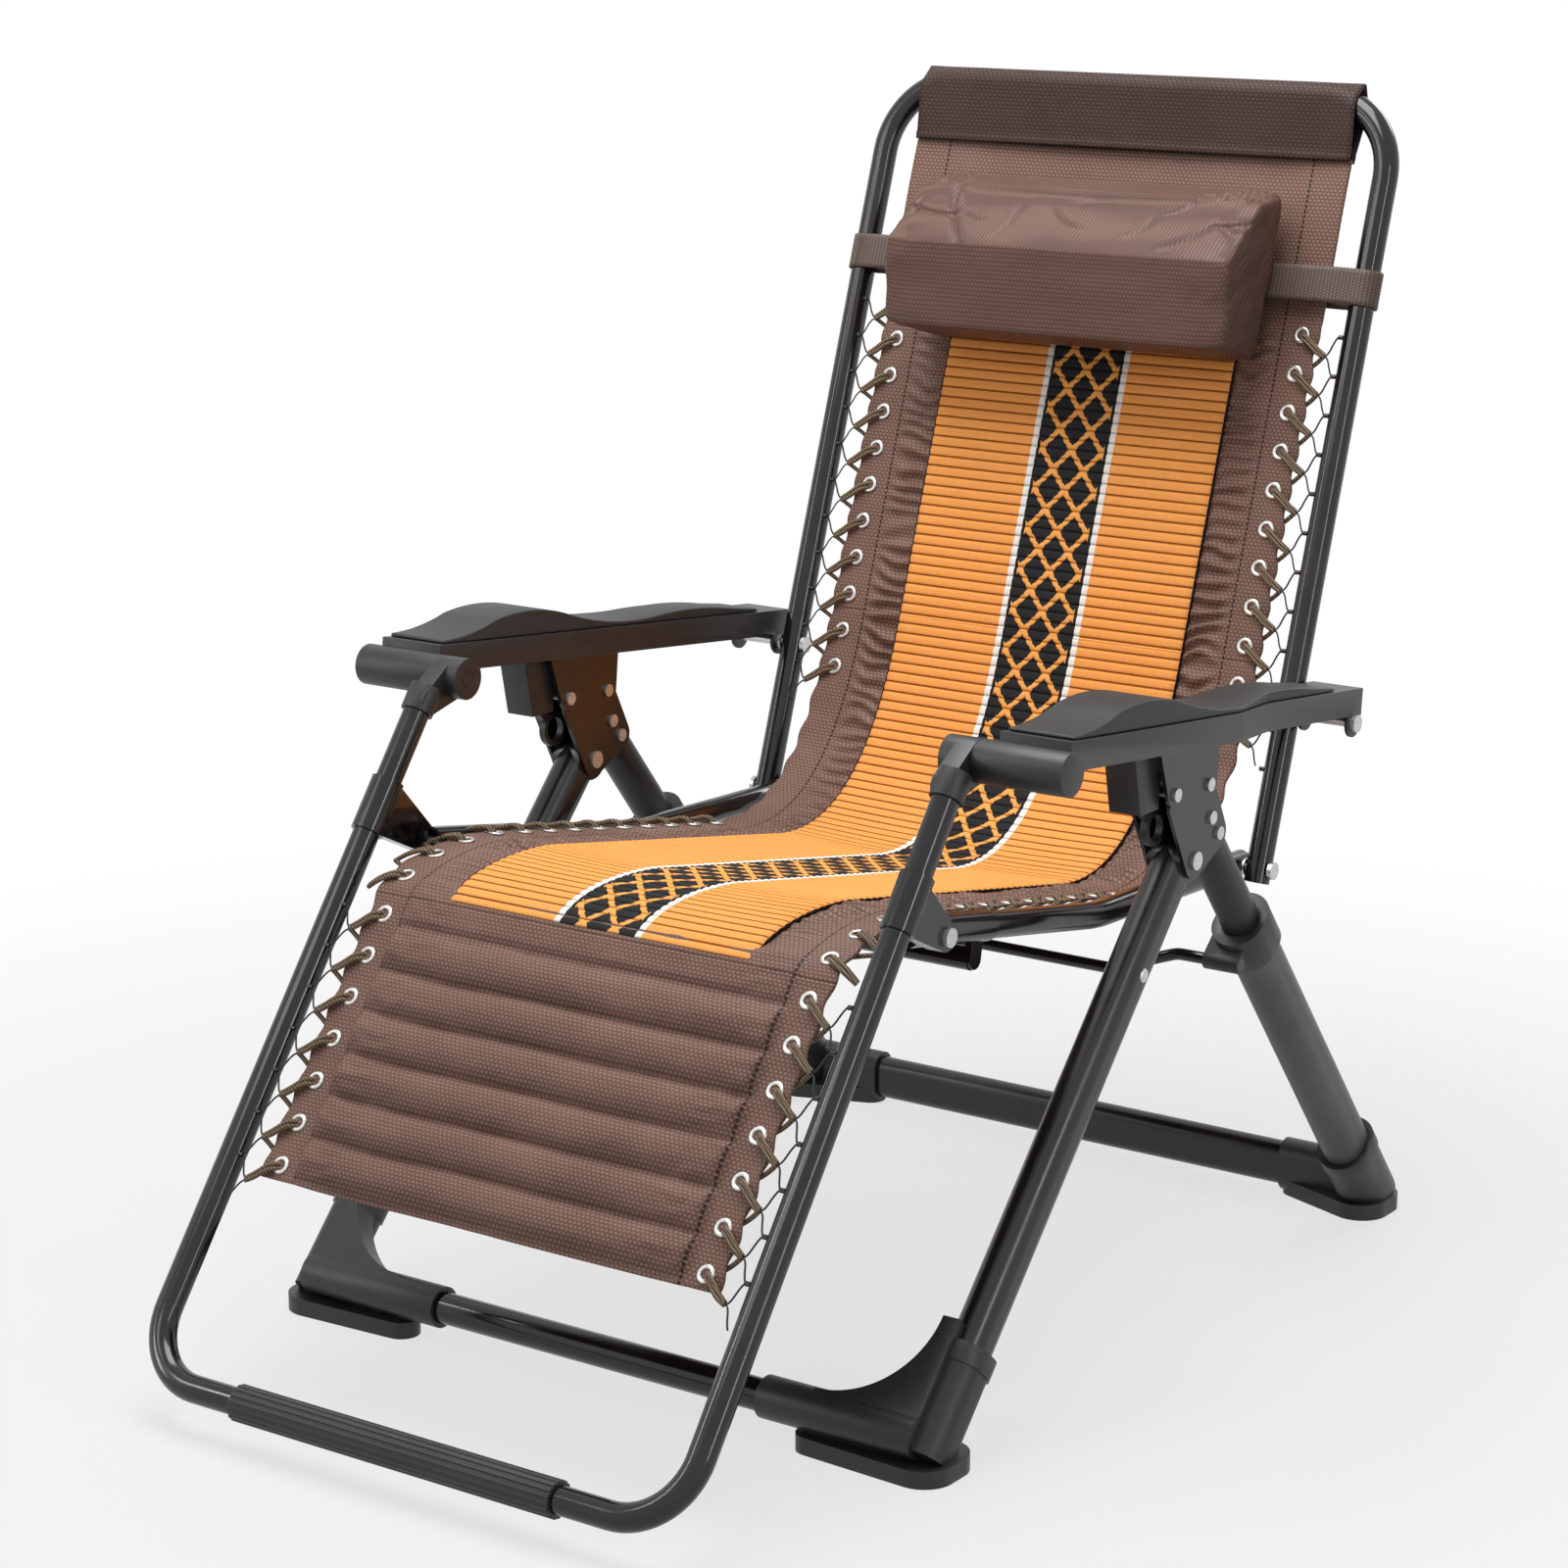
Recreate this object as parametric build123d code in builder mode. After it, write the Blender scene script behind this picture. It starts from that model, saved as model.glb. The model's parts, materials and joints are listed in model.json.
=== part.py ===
from build123d import *

import math
import os

# Folding reclining lounge chair. Millimetres, +Z up, the front towards -Y, mirrored about X = 0.
# Side-view points are (y, z); the stand pivot is where the armrest turns on the rear leg.

# Side view: the four-bar of armrest, back, seat and legrest
stand_y = 101.5
stand_z = 460.0
arm_front = 242.0
arm_front_rise = 58.0
arm_rear = 252.0
arm_rear_rise = 2.0
link_run = 42.5
link_drop = 127.0

# Side view: the stand
hinge_run = 13.5
hinge_drop = 60.0
rear_top_run = 16.5
rear_top_drop = 37.0
rear_foot_run = 343.0
rear_foot_z = 22.0
front_foot_run = 362.0
front_foot_z = 22.0
front_bar_run = 376.0
front_bar_z = 32.0
rear_bar_run = 348.0
rear_bar_z = 25.0
stop_pin_run = 53.0
stop_pin_rise = 2.0

# Across the chair
tube_x = 256.0
rail_x = 232.0
leg_x = 300.0

# Round tubes
tube_d = 22.0
tube_wall = 1.2
back_height = 666.0
back_corner = 68.0
tube_past_pivot = 12.0
legrest_lean = 36.6
legrest_offset = 18.0
legrest_length = 614.6
legrest_corner = 56.0
rail_bend_run = 20.0
rail_bend_z = 343.0
rail_bend = 200.0
rail_past_pivot = 12.0
rail_step_d = 25.0
rail_step_length = 112.0

# Legs and floor bars
leg_depth = 38.0
leg_thick = 30.0
leg_wall = 1.3
rear_upper_depth = 34.0
rear_upper_start = 22.0
rear_upper_length = 184.0
rear_lower_depth = 46.0
rear_lower_thick = 36.0
rear_lower_start = 142.0
front_bar_d = 26.0
rear_bar_tall = 40.0
rear_bar_deep = 22.0
bar_half = 268.0

# Collars and stay
collar_start = 128.0
collar_length = 36.0
collar_rim = 4.5
stay_d = 10.0
stay_bow = 26.0
stay_reach = 250.0
stay_lug = 10.0
stay_lug_r = 8.0
stay_lug_at = 18.0

# Boots
boot_rim = 4.0
boot_lip = 1.6
boot_lip_length = 16.0
rear_boot_length = 66.0
front_boot_length = 78.0
rear_boot_inner = 218.0
front_boot_inner = 160.0
boot_base = 14.0
boot_heel = 25.0
boot_heel_run = 9.0
boot_toe = 15.0
gusset_arc = 80.0
gusset_thick = 26.0

# Plates, bolts and fits
plate_t = 3.0
sleeve_t = 2.5
sleeve_length = 46.0
ear_t = 15.0
ear_lobe = 11.5
washer_t = 1.2
bolt_d = 8.0
bolt_head_d = 15.0
bolt_head_t = 4.0
rivet_d = 6.0
rivet_head_d = 11.0
rivet_head_t = 2.6
running_fit = 0.08
slide_gap = 0.3
seat_gap = 0.1
open_pivot_gap = 0.4

# Knuckle
knuckle_lobe = 13.0
knuckle_pivot_lobe = 15.0
knuckle_rivet_up = 9.5
knuckle_rivet_down = 10.0
knuckle_nose_run = 48.0
knuckle_nose_drop = 9.5
knuckle_nose = 8.0

# Armrests
drum_d = 34.0
drum_inner = 234.0
drum_seam = 261.5
drum_outer = 341.0
drum_pin_d = 12.0
tray_inner_gap = 1.2
tray_outer_gap = 6.8
tray_rear_reach = 19.0
tray_front = 8.0
tray_low = 0.0
tray_high = 23.0
tray_rear_rise = 8.0
tray_wall = 3.0
tray_past_rear = 13.0
tray_neck_start = 272.0
tray_neck_end = 345.0
tray_boss_d = 24.0
pad_inset = 2.5
pad_heights = [(15, 3), (55, 8), (82, 16), (125, 21.5), (178, 16), (250, 4.5), (305, 5.5), (360, 9),
               (425, 5.5), (445, 4), (462, 3)]
bracket_front = 90.0
bracket_low = 11.0
bracket_lobe = 13.0
bracket_corner = 2.0

# Lock block and its finger lever
lock_front = 114.0
lock_rear = 66.0
lock_low = -8.0
lock_width = 28.0
lever_pivot_run = 76.0
lever_pivot_rise = 0.0
lever_thick = 6.0
lever_pin_d = 5.0
lever_neck = 4.0
ring_run = 50.0
ring_drop = 28.0
ring_d = 30.0
ring_hole_d = 21.0

# Sling, mat and lacing
cloth_t = 3.0
cloth_half = 222.0
eyelet_x = 205.0
eyelet_pitch = 34.0
eyelet_d = 17.0
eyelet_bore = 8.4
eyelet_barrel = 10.4
eyelet_rim = 0.8
eyelet_end_gap = 28.0
back_eyelet_end_gap = 140.0
back_cloth_low = 62.0
pocket_drop = 56.0
pocket_half = 186.0
pocket_skin = 2.5
pocket_flap = 9.0
seat_cloth_half = 216.0
seat_cloth_rise = 9.0
seat_cloth_front = 40.0
knee_rise = 13.0
knee_half = 211.0
knee_clear = 1.4
seat_cloth_length = 344.0
leg_cloth_low = 170.0
leg_cloth_high = 440.0
leg_channels = 7
leg_channel_half = 186.0
leg_channel_crown = 7.0
mat_half = 147.0
mat_t = 3.5
back_mat_high = 470.0
back_eyelet_low = 84.0
seat_eyelet_low = 76.0
leg_eyelet_low = 184.0
leg_eyelet_pitch = 36.0
lace_d = 3.2
lace_bend = 2.4
lace_reach = 26.0
string_d = 1.8
string_bend = 1.6
peg_d = 4.0
peg_out = 3.0

# Head pillow and strap
pillow_half = 176.0
pillow_low = 424.0
pillow_high = 578.0
pillow_t = 88.0
pillow_ridge = 500.0
pillow_foot_t = 74.0
pillow_crown = 7.0
pillow_edge = 16.0
pillow_body = 0.86
strap_t = 1.6
strap_width = 32.0

# Legrest grip and under-seat bar
grip_half = 154.0
grip_d = 29.0
grip_flutes = 18
grip_flute = 2.4
seat_bar_d = 18.0
seat_bar_from_front = 86.0
seat_bar_drop = 26.0
seat_bar_lug = 16.0

os.makedirs("parts", exist_ok=True)

# Values that follow from the sizes above
tube_r = tube_d / 2
bolt_r = bolt_d / 2
cloth_face = cloth_t / 2
stand = (stand_y, stand_z)
arm_a = (stand_y - arm_front, stand_z + arm_front_rise)
arm_b = (stand_y + arm_rear, stand_z + arm_rear_rise)
seat_c = (arm_b[0] - link_run, arm_b[1] - link_drop)
seat_d = (arm_a[0] - link_run, arm_a[1] - link_drop)
hinge = (stand_y - hinge_run, stand_z - hinge_drop)
rear_top = (stand_y + rear_top_run, stand_z - rear_top_drop)
rear_foot = (stand_y + rear_foot_run, rear_foot_z)
front_foot = (stand_y - front_foot_run, front_foot_z)
front_bar_at = (stand_y - front_bar_run, front_bar_z)
rear_bar_at = (stand_y + rear_bar_run, rear_bar_z)
stop_pin_at = (stand_y - stop_pin_run, stand_z + stop_pin_rise)
rear_length = math.dist(rear_top, rear_foot)
tray_rear = (arm_b[0], stand_z + tray_rear_rise)
arm_length = math.dist(arm_a, tray_rear)
rail_bend_at = (stand_y - rail_bend_run, rail_bend_z)
front_length = math.dist(hinge, front_foot)
hook_x = eyelet_x + lace_reach
lace_high = cloth_face + eyelet_rim + lace_d / 2 + seat_gap
peg_x = tube_x - tube_r - peg_out
string_out = peg_x - string_d / 2 - seat_gap
back_cloth_high = back_height - pocket_drop - seat_gap
seat_cloth_end = seat_cloth_front + seat_cloth_length
back_eyelets = int((back_cloth_high - back_eyelet_end_gap - back_eyelet_low) / eyelet_pitch) + 1
seat_eyelets = int((seat_cloth_end - eyelet_end_gap - seat_eyelet_low) / eyelet_pitch) + 1
leg_eyelets = int((leg_cloth_high - eyelet_end_gap - leg_eyelet_low) / leg_eyelet_pitch) + 1
back_rows = [back_eyelet_low + eyelet_pitch * row for row in range(back_eyelets)]
leg_rows = [leg_eyelet_low + leg_eyelet_pitch * row for row in range(leg_eyelets)]
knuckle_gap = leg_thick / 2 + slide_gap
bracket_gap = knuckle_gap + plate_t + slide_gap
bracket_half = bracket_gap + plate_t + rivet_head_t
tray_inner = leg_x - bracket_half - tray_inner_gap - tray_wall
tray_outer = leg_x + bracket_half + tray_outer_gap + tray_wall
tray_rear_outer = leg_x + tray_rear_reach


def between(start, end, distance):
    """The side-view point at a distance from start towards end."""
    length = math.dist(start, end)
    run = (end[0] - start[0]) / length
    rise = (end[1] - start[1]) / length
    return (start[0] + run * distance, start[1] + rise * distance)


def beside(start, end, distance, off):
    """The same point, moved off the line to its upper or forward side."""
    length = math.dist(start, end)
    run = (end[0] - start[0]) / length
    rise = (end[1] - start[1]) / length
    point = between(start, end, distance)
    return (point[0] - rise * off, point[1] + run * off)


def across(x, start, end, distance):
    """The plane square to a side-view line, local X along the chair's X."""
    at = between(start, end, distance)
    return Plane((x, at[0], at[1]), x_dir=(1, 0, 0), z_dir=(0, end[0] - start[0], end[1] - start[1]))


def rod(at, x_from, x_to, radius, mode=Mode.ADD):
    """A round rod along X through a side-view point."""
    with BuildSketch(Plane.YZ.offset(x_from)) as section:
        with Locations(at):
            Circle(radius)
    extrude(section.sketch, amount=x_to - x_from, mode=mode)


def flat_oval(plane, length, depth, thick, mode=Mode.ADD):
    """A flat-oval bar that stands on a plane, its depth in the side view."""
    with BuildSketch(plane) as section:
        SlotOverall(depth, thick, rotation=90)
    extrude(section.sketch, amount=length, mode=mode)


def plate(x_from, x_to, lobes, mode=Mode.ADD):
    """A flat plate square to X, drawn tight round its lobes of (point, radius)."""
    rims = [Edge.make_circle(radius, Plane((point[0], point[1], 0))) for point, radius in lobes]
    with BuildSketch(Plane.YZ.offset(x_from)) as outline:
        make_hull(rims)
    extrude(outline.sketch, amount=x_to - x_from, mode=mode)


def pegs(line_from, line_to, rows):
    """Small studs on the inner sides of a bent tube, one for each row along it."""
    for side in (-1, 1):
        for row in rows:
            at = beside(line_from, line_to, row, lace_high)
            rod(at, side * peg_x, side * (tube_x - tube_r + tube_wall), peg_d / 2)


def rivet(at, x_from, x_to):
    """A rivet along X with a flat round head at each end."""
    rod(at, x_from, x_to, rivet_d / 2)
    rod(at, x_from - rivet_head_t, x_from, rivet_head_d / 2)
    rod(at, x_to, x_to + rivet_head_t, rivet_head_d / 2)


def boot_sole(heels, toe):
    """A boot's flat base on the floor, drawn tight round the leg's foot and the bar's end."""
    rims = [Edge.make_circle(boot_heel, Plane((heel[0], heel[1], 0))) for heel in heels]
    rims.append(Edge.make_circle(boot_toe, Plane((toe[0], toe[1], 0))))
    with BuildSketch(Plane.XY) as outline:
        make_hull(rims)
    extrude(outline.sketch, amount=boot_base)


# Rear legs: a narrow upper tube that runs into a wider lower one
knuckle_rivets_at = [between(rear_top, rear_foot, -knuckle_rivet_up),
                     between(rear_top, rear_foot, knuckle_rivet_down)]
with BuildPart() as rear_leg_upper_right:
    upper_plane = across(leg_x, rear_top, rear_foot, -rear_upper_start)
    flat_oval(upper_plane, rear_upper_length, rear_upper_depth, 2 * knuckle_gap)
    flat_oval(upper_plane.offset(leg_wall), rear_upper_length, rear_upper_depth - 2 * leg_wall,
              2 * (knuckle_gap - leg_wall), Mode.SUBTRACT)
    for place in knuckle_rivets_at:
        rod(place, leg_x - knuckle_gap, leg_x + knuckle_gap, rivet_d / 2 + running_fit, Mode.SUBTRACT)
rear_leg_upper_right.part.label = "rear_leg_upper_right"
export_step(rear_leg_upper_right.part, "parts/rear_leg_upper_right.step")

with BuildPart() as rear_leg_upper_left:
    mirror(rear_leg_upper_right.part, about=Plane.YZ)
rear_leg_upper_left.part.label = "rear_leg_upper_left"
export_step(rear_leg_upper_left.part, "parts/rear_leg_upper_left.step")

with BuildPart() as rear_leg_lower_right:
    lower_plane = across(leg_x, rear_top, rear_foot, rear_lower_start)
    lower_length = rear_length - rear_lower_start
    flat_oval(lower_plane, lower_length, rear_lower_depth, rear_lower_thick)
    flat_oval(lower_plane, lower_length - leg_wall, rear_lower_depth - 2 * leg_wall,
              rear_lower_thick - 2 * leg_wall, Mode.SUBTRACT)
rear_leg_lower_right.part.label = "rear_leg_lower_right"
export_step(rear_leg_lower_right.part, "parts/rear_leg_lower_right.step")

with BuildPart() as rear_leg_lower_left:
    mirror(rear_leg_lower_right.part, about=Plane.YZ)
rear_leg_lower_left.part.label = "rear_leg_lower_left"
export_step(rear_leg_lower_left.part, "parts/rear_leg_lower_left.step")

# Collar: steps from the upper tube to the lower one and holds the stay on its front lug
collar_depth = rear_lower_depth + 2 * collar_rim
collar_thick = rear_lower_thick + 2 * collar_rim
stay_at = beside(rear_top, rear_foot, collar_start + stay_lug_at, -(collar_depth / 2 + stay_lug / 2))
lug_foot = between(rear_top, rear_foot, collar_start + stay_lug_at)
with BuildPart() as rear_collar_right:
    collar_plane = across(leg_x, rear_top, rear_foot, collar_start)
    flat_oval(collar_plane, collar_length, collar_depth, collar_thick)
    plate(leg_x - collar_thick / 2, leg_x + stay_d, [(stay_at, stay_lug_r), (lug_foot, stay_lug)])
    flat_oval(lower_plane, collar_length, rear_lower_depth + 2 * seat_gap,
              rear_lower_thick + 2 * seat_gap, Mode.SUBTRACT)
    flat_oval(collar_plane, collar_length, rear_upper_depth + 2 * seat_gap,
              2 * (knuckle_gap + seat_gap), Mode.SUBTRACT)
    rod(stay_at, 0, leg_x + stay_d, stay_d / 2 + seat_gap, Mode.SUBTRACT)
rear_collar_right.part.label = "rear_collar_right"
export_step(rear_collar_right.part, "parts/rear_collar_right.step")

with BuildPart() as rear_collar_left:
    mirror(rear_collar_right.part, about=Plane.YZ)
rear_collar_left.part.label = "rear_collar_left"
export_step(rear_collar_left.part, "parts/rear_collar_left.step")

# Stay: a rod between the collars, bowed forward and down so that the folded seat passes it
bow_plane = Plane((0, stay_at[0], stay_at[1]), x_dir=(1, 0, 0),
                  z_dir=(0, rear_foot[0] - rear_top[0], rear_foot[1] - rear_top[1]))
with BuildPart() as rear_stay:
    with BuildLine(bow_plane) as stay_path:
        FilletPolyline((-leg_x - stay_d, 0), (-stay_reach, 0), (-stay_reach + 2 * stay_bow, stay_bow),
                       (stay_reach - 2 * stay_bow, stay_bow), (stay_reach, 0), (leg_x + stay_d, 0),
                       radius=2 * stay_d)
    with BuildSketch(Plane(stay_path.line @ 0, z_dir=stay_path.line % 0)):
        Circle(stay_d / 2)
    sweep()
rear_stay.part.label = "rear_stay"
export_step(rear_stay.part, "parts/rear_stay.step")

# Rear floor bar: a flat tube on edge
with BuildPart() as rear_crossbar:
    with BuildSketch(Plane.YZ.offset(-bar_half)):
        with Locations(rear_bar_at):
            SlotOverall(rear_bar_tall, rear_bar_deep, rotation=90)
    extrude(amount=2 * bar_half)
    with BuildSketch(Plane.YZ.offset(-bar_half + leg_wall)):
        with Locations(rear_bar_at):
            SlotOverall(rear_bar_tall - 2 * leg_wall, rear_bar_deep - 2 * leg_wall, rotation=90)
    extrude(amount=2 * (bar_half - leg_wall), mode=Mode.SUBTRACT)
rear_crossbar.part.label = "rear_crossbar"
export_step(rear_crossbar.part, "parts/rear_crossbar.step")

# Rear boots: a corner that holds the leg and the bar, with a lip round the leg and a flat base
rear_heels = [(leg_x, rear_foot[0] - boot_heel_run), (leg_x, rear_foot[0] + boot_heel_run)]
with BuildPart() as rear_boot_right:
    boot_plane = across(leg_x, rear_top, rear_foot, rear_length - rear_boot_length)
    flat_oval(boot_plane, rear_boot_length + boot_base, rear_lower_depth + 2 * boot_rim,
              rear_lower_thick + 2 * boot_rim)
    flat_oval(boot_plane, boot_lip_length, rear_lower_depth + 2 * (boot_rim + boot_lip),
              rear_lower_thick + 2 * (boot_rim + boot_lip))
    with BuildSketch(Plane.YZ.offset(rear_boot_inner)):
        with Locations(rear_bar_at):
            SlotOverall(rear_bar_tall + 2 * boot_rim, rear_bar_deep + 2 * boot_rim, rotation=90)
    extrude(amount=leg_x - rear_boot_inner)
    boot_sole(rear_heels, (rear_boot_inner + boot_toe, rear_bar_at[0]))
    split(bisect_by=Plane.XY, keep=Keep.TOP)
    flat_oval(lower_plane, lower_length + seat_gap, rear_lower_depth + 2 * seat_gap,
              rear_lower_thick + 2 * seat_gap, Mode.SUBTRACT)
    with BuildSketch(Plane.YZ.offset(rear_boot_inner)):
        with Locations(rear_bar_at):
            SlotOverall(rear_bar_tall + 2 * seat_gap, rear_bar_deep + 2 * seat_gap, rotation=90)
    extrude(amount=bar_half + seat_gap - rear_boot_inner, mode=Mode.SUBTRACT)
rear_boot_right.part.label = "rear_boot_right"
export_step(rear_boot_right.part, "parts/rear_boot_right.step")

with BuildPart() as rear_boot_left:
    mirror(rear_boot_right.part, about=Plane.YZ)
rear_boot_left.part.label = "rear_boot_left"
export_step(rear_boot_left.part, "parts/rear_boot_left.step")

# Knuckle: two plates on the rear leg's top that carry the stand pivot and the front leg's hinge
knuckle_nose_at = (stand_y - knuckle_nose_run, stand_z - knuckle_nose_drop)
knuckle_lobes = [(stand, knuckle_lobe), (hinge, knuckle_pivot_lobe), (knuckle_nose_at, knuckle_nose)]
knuckle_lobes += [(place, knuckle_lobe) for place in knuckle_rivets_at]
with BuildPart() as knuckle_right:
    for side in (-1, 1):
        plate(leg_x + side * knuckle_gap, leg_x + side * (knuckle_gap + plate_t), knuckle_lobes)
    for place in knuckle_rivets_at:
        rod(place, leg_x - bracket_gap, leg_x + bracket_gap, rivet_d / 2 + running_fit, Mode.SUBTRACT)
    for place in (stand, hinge):
        rod(place, leg_x - bracket_gap, leg_x + bracket_gap, bolt_r + running_fit, Mode.SUBTRACT)
knuckle_right.part.label = "knuckle_right"
export_step(knuckle_right.part, "parts/knuckle_right.step")

with BuildPart() as knuckle_left:
    mirror(knuckle_right.part, about=Plane.YZ)
knuckle_left.part.label = "knuckle_left"
export_step(knuckle_left.part, "parts/knuckle_left.step")

# Bolts of the knuckles: two rivets into each rear leg and the front leg's hinge bolt
knuckle_face = knuckle_gap + plate_t
with BuildPart() as knuckle_bolts:
    for side in (-1, 1):
        for place in knuckle_rivets_at:
            rivet(place, side * leg_x - knuckle_face, side * leg_x + knuckle_face)
        rod(hinge, side * leg_x - knuckle_face, side * leg_x + knuckle_face, bolt_r)
        for end in (-1, 1):
            face = side * leg_x + end * knuckle_face
            rod(hinge, face, face + end * rivet_head_t, bolt_head_d / 2)
knuckle_bolts.part.label = "knuckle_bolts"
export_step(knuckle_bolts.part, "parts/knuckle_bolts.step")

# Front legs, floor bar and boots
with BuildPart() as front_leg_right:
    front_plane = across(leg_x, hinge, front_foot, 0)
    flat_oval(front_plane.offset(-leg_depth / 2), front_length + leg_depth / 2, leg_depth, leg_thick)
    with BuildSketch(Plane.YZ.offset(leg_x - leg_thick / 2)):
        with Locations(between(hinge, front_foot, -leg_depth / 2)):
            Rectangle(leg_depth, leg_depth, rotation=math.degrees(math.atan2(
                front_foot[1] - hinge[1], front_foot[0] - hinge[0])))
    extrude(amount=leg_thick, mode=Mode.SUBTRACT)
    rod(hinge, leg_x - leg_thick / 2, leg_x + leg_thick / 2, leg_depth / 2)
    flat_oval(front_plane.offset(leg_depth), front_length - leg_depth - leg_wall, leg_depth - 2 * leg_wall,
              leg_thick - 2 * leg_wall, Mode.SUBTRACT)
    rod(hinge, leg_x - leg_thick, leg_x + leg_thick, bolt_r + running_fit, Mode.SUBTRACT)
front_leg_right.part.label = "front_leg_right"
export_step(front_leg_right.part, "parts/front_leg_right.step")

with BuildPart() as front_leg_left:
    mirror(front_leg_right.part, about=Plane.YZ)
front_leg_left.part.label = "front_leg_left"
export_step(front_leg_left.part, "parts/front_leg_left.step")

with BuildPart() as front_crossbar:
    rod(front_bar_at, -bar_half, bar_half, front_bar_d / 2)
    rod(front_bar_at, -bar_half + leg_wall, bar_half - leg_wall, front_bar_d / 2 - leg_wall, Mode.SUBTRACT)
front_crossbar.part.label = "front_crossbar"
export_step(front_crossbar.part, "parts/front_crossbar.step")

# Front boots: leg socket with a lip, long bar socket, a concave gusset between them and a flat base
front_socket_r = front_bar_d / 2 + boot_rim
gusset_plane = Plane((0, front_bar_at[0], front_bar_at[1]), x_dir=(1, 0, 0),
                     z_dir=(0, front_foot[1] - hinge[1], hinge[0] - front_foot[0]))
gusset_side = leg_x - leg_thick / 2
gusset_slant = gusset_arc * math.sqrt(0.5)
gusset_from = (gusset_side - gusset_arc, front_bar_d / 2)
gusset_to = (gusset_side, gusset_from[1] + gusset_arc)
gusset_mid = (gusset_from[0] + gusset_slant, gusset_to[1] - gusset_slant)
front_heels = [(leg_x, front_foot[0] - boot_heel_run), (leg_x, front_foot[0] + boot_heel_run)]
with BuildPart() as front_boot_right:
    flat_oval(across(leg_x, front_foot, hinge, -boot_base), front_boot_length + boot_base,
              leg_depth + 2 * boot_rim, leg_thick + 2 * boot_rim)
    flat_oval(across(leg_x, front_foot, hinge, front_boot_length - boot_lip_length), boot_lip_length,
              leg_depth + 2 * (boot_rim + boot_lip), leg_thick + 2 * (boot_rim + boot_lip))
    rod(front_bar_at, front_boot_inner, leg_x, front_socket_r)
    with BuildSketch(gusset_plane.offset(-gusset_thick / 2)):
        with BuildLine():
            ThreePointArc(gusset_from, gusset_mid, gusset_to)
            Line(gusset_to, (leg_x, gusset_to[1]))
            Line((leg_x, gusset_to[1]), (leg_x, 0))
            Line((leg_x, 0), (gusset_from[0], 0))
            Line((gusset_from[0], 0), gusset_from)
        make_face()
    extrude(amount=gusset_thick)
    boot_sole(front_heels, (gusset_from[0], front_bar_at[0]))
    split(bisect_by=Plane.XY, keep=Keep.TOP)
    flat_oval(across(leg_x, front_foot, hinge, -seat_gap), front_length, leg_depth + 2 * seat_gap,
              leg_thick + 2 * seat_gap, Mode.SUBTRACT)
    rod(front_bar_at, front_boot_inner, bar_half + seat_gap, front_bar_d / 2 + seat_gap, Mode.SUBTRACT)
front_boot_right.part.label = "front_boot_right"
export_step(front_boot_right.part, "parts/front_boot_right.step")

with BuildPart() as front_boot_left:
    mirror(front_boot_right.part, about=Plane.YZ)
front_boot_left.part.label = "front_boot_left"
export_step(front_boot_left.part, "parts/front_boot_left.step")

# Armrest: a channel from the front drum to the rear pivot
arm_plane = Plane((0, arm_a[0], arm_a[1]), x_dir=(1, 0, 0),
                  z_dir=(0, arm_a[1] - tray_rear[1], tray_rear[0] - arm_a[0]))
arm_side = Plane((0, arm_a[0], arm_a[1]), x_dir=(0, tray_rear[0] - arm_a[0], tray_rear[1] - arm_a[1]),
                 z_dir=(1, 0, 0))
tray_end = arm_length + tray_past_rear
tray_outline = [(tray_inner, tray_front), (tray_outer, tray_front), (tray_outer, tray_neck_start),
                (tray_rear_outer, tray_neck_end), (tray_rear_outer, tray_end), (tray_inner, tray_end)]
with BuildPart() as armrest_frame_right:
    with BuildSketch(arm_plane.offset(tray_low)):
        Polygon(*tray_outline, align=None)
    extrude(amount=tray_high - tray_low)
    with BuildSketch(arm_plane.offset(tray_low)) as tray_floor:
        Polygon(*tray_outline, align=None)
        offset(amount=-tray_wall, kind=Kind.INTERSECTION, mode=Mode.REPLACE)
    extrude(amount=tray_high - tray_low - tray_wall, mode=Mode.SUBTRACT)
    rod(arm_a, drum_seam + slide_gap, drum_outer, drum_d / 2)
    rod(arm_b, tray_inner, tray_inner + tray_wall, tray_boss_d / 2)
    rod(arm_b, tray_rear_outer - tray_wall, tray_rear_outer, tray_boss_d / 2)
    rod(arm_a, 0, drum_outer - tray_wall, drum_pin_d / 2 + seat_gap, Mode.SUBTRACT)
    rod(arm_b, 0, tray_outer, bolt_r + running_fit, Mode.SUBTRACT)
armrest_frame_right.part.label = "armrest_frame_right"
export_step(armrest_frame_right.part, "parts/armrest_frame_right.step")

with BuildPart() as armrest_frame_left:
    mirror(armrest_frame_right.part, about=Plane.YZ)
armrest_frame_left.part.label = "armrest_frame_left"
export_step(armrest_frame_left.part, "parts/armrest_frame_left.step")

# Armrest pad: high at the front third, dipped in the middle, raised again at the rear
pad_base = tray_high + seat_gap
pad_top = [(distance, pad_base + height) for distance, height in pad_heights]
with BuildPart() as armrest_pad_right:
    with BuildSketch(arm_side.offset(tray_inner + pad_inset)):
        with BuildLine():
            for first in range(0, len(pad_top) - 2, 2):
                ThreePointArc(pad_top[first], pad_top[first + 1], pad_top[first + 2])
            Line(pad_top[-1], (pad_top[-1][0], pad_base))
            Line((pad_top[-1][0], pad_base), (pad_top[0][0], pad_base))
            Line((pad_top[0][0], pad_base), pad_top[0])
        make_face()
    extrude(amount=tray_outer - tray_inner - 2 * pad_inset)
    with BuildSketch(arm_plane.offset(pad_base)):
        Polygon(*tray_outline, align=None)
        offset(amount=-pad_inset, kind=Kind.INTERSECTION, mode=Mode.REPLACE)
    extrude(amount=2 * tray_high, mode=Mode.INTERSECT)
armrest_pad_right.part.label = "armrest_pad_right"
export_step(armrest_pad_right.part, "parts/armrest_pad_right.step")

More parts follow.
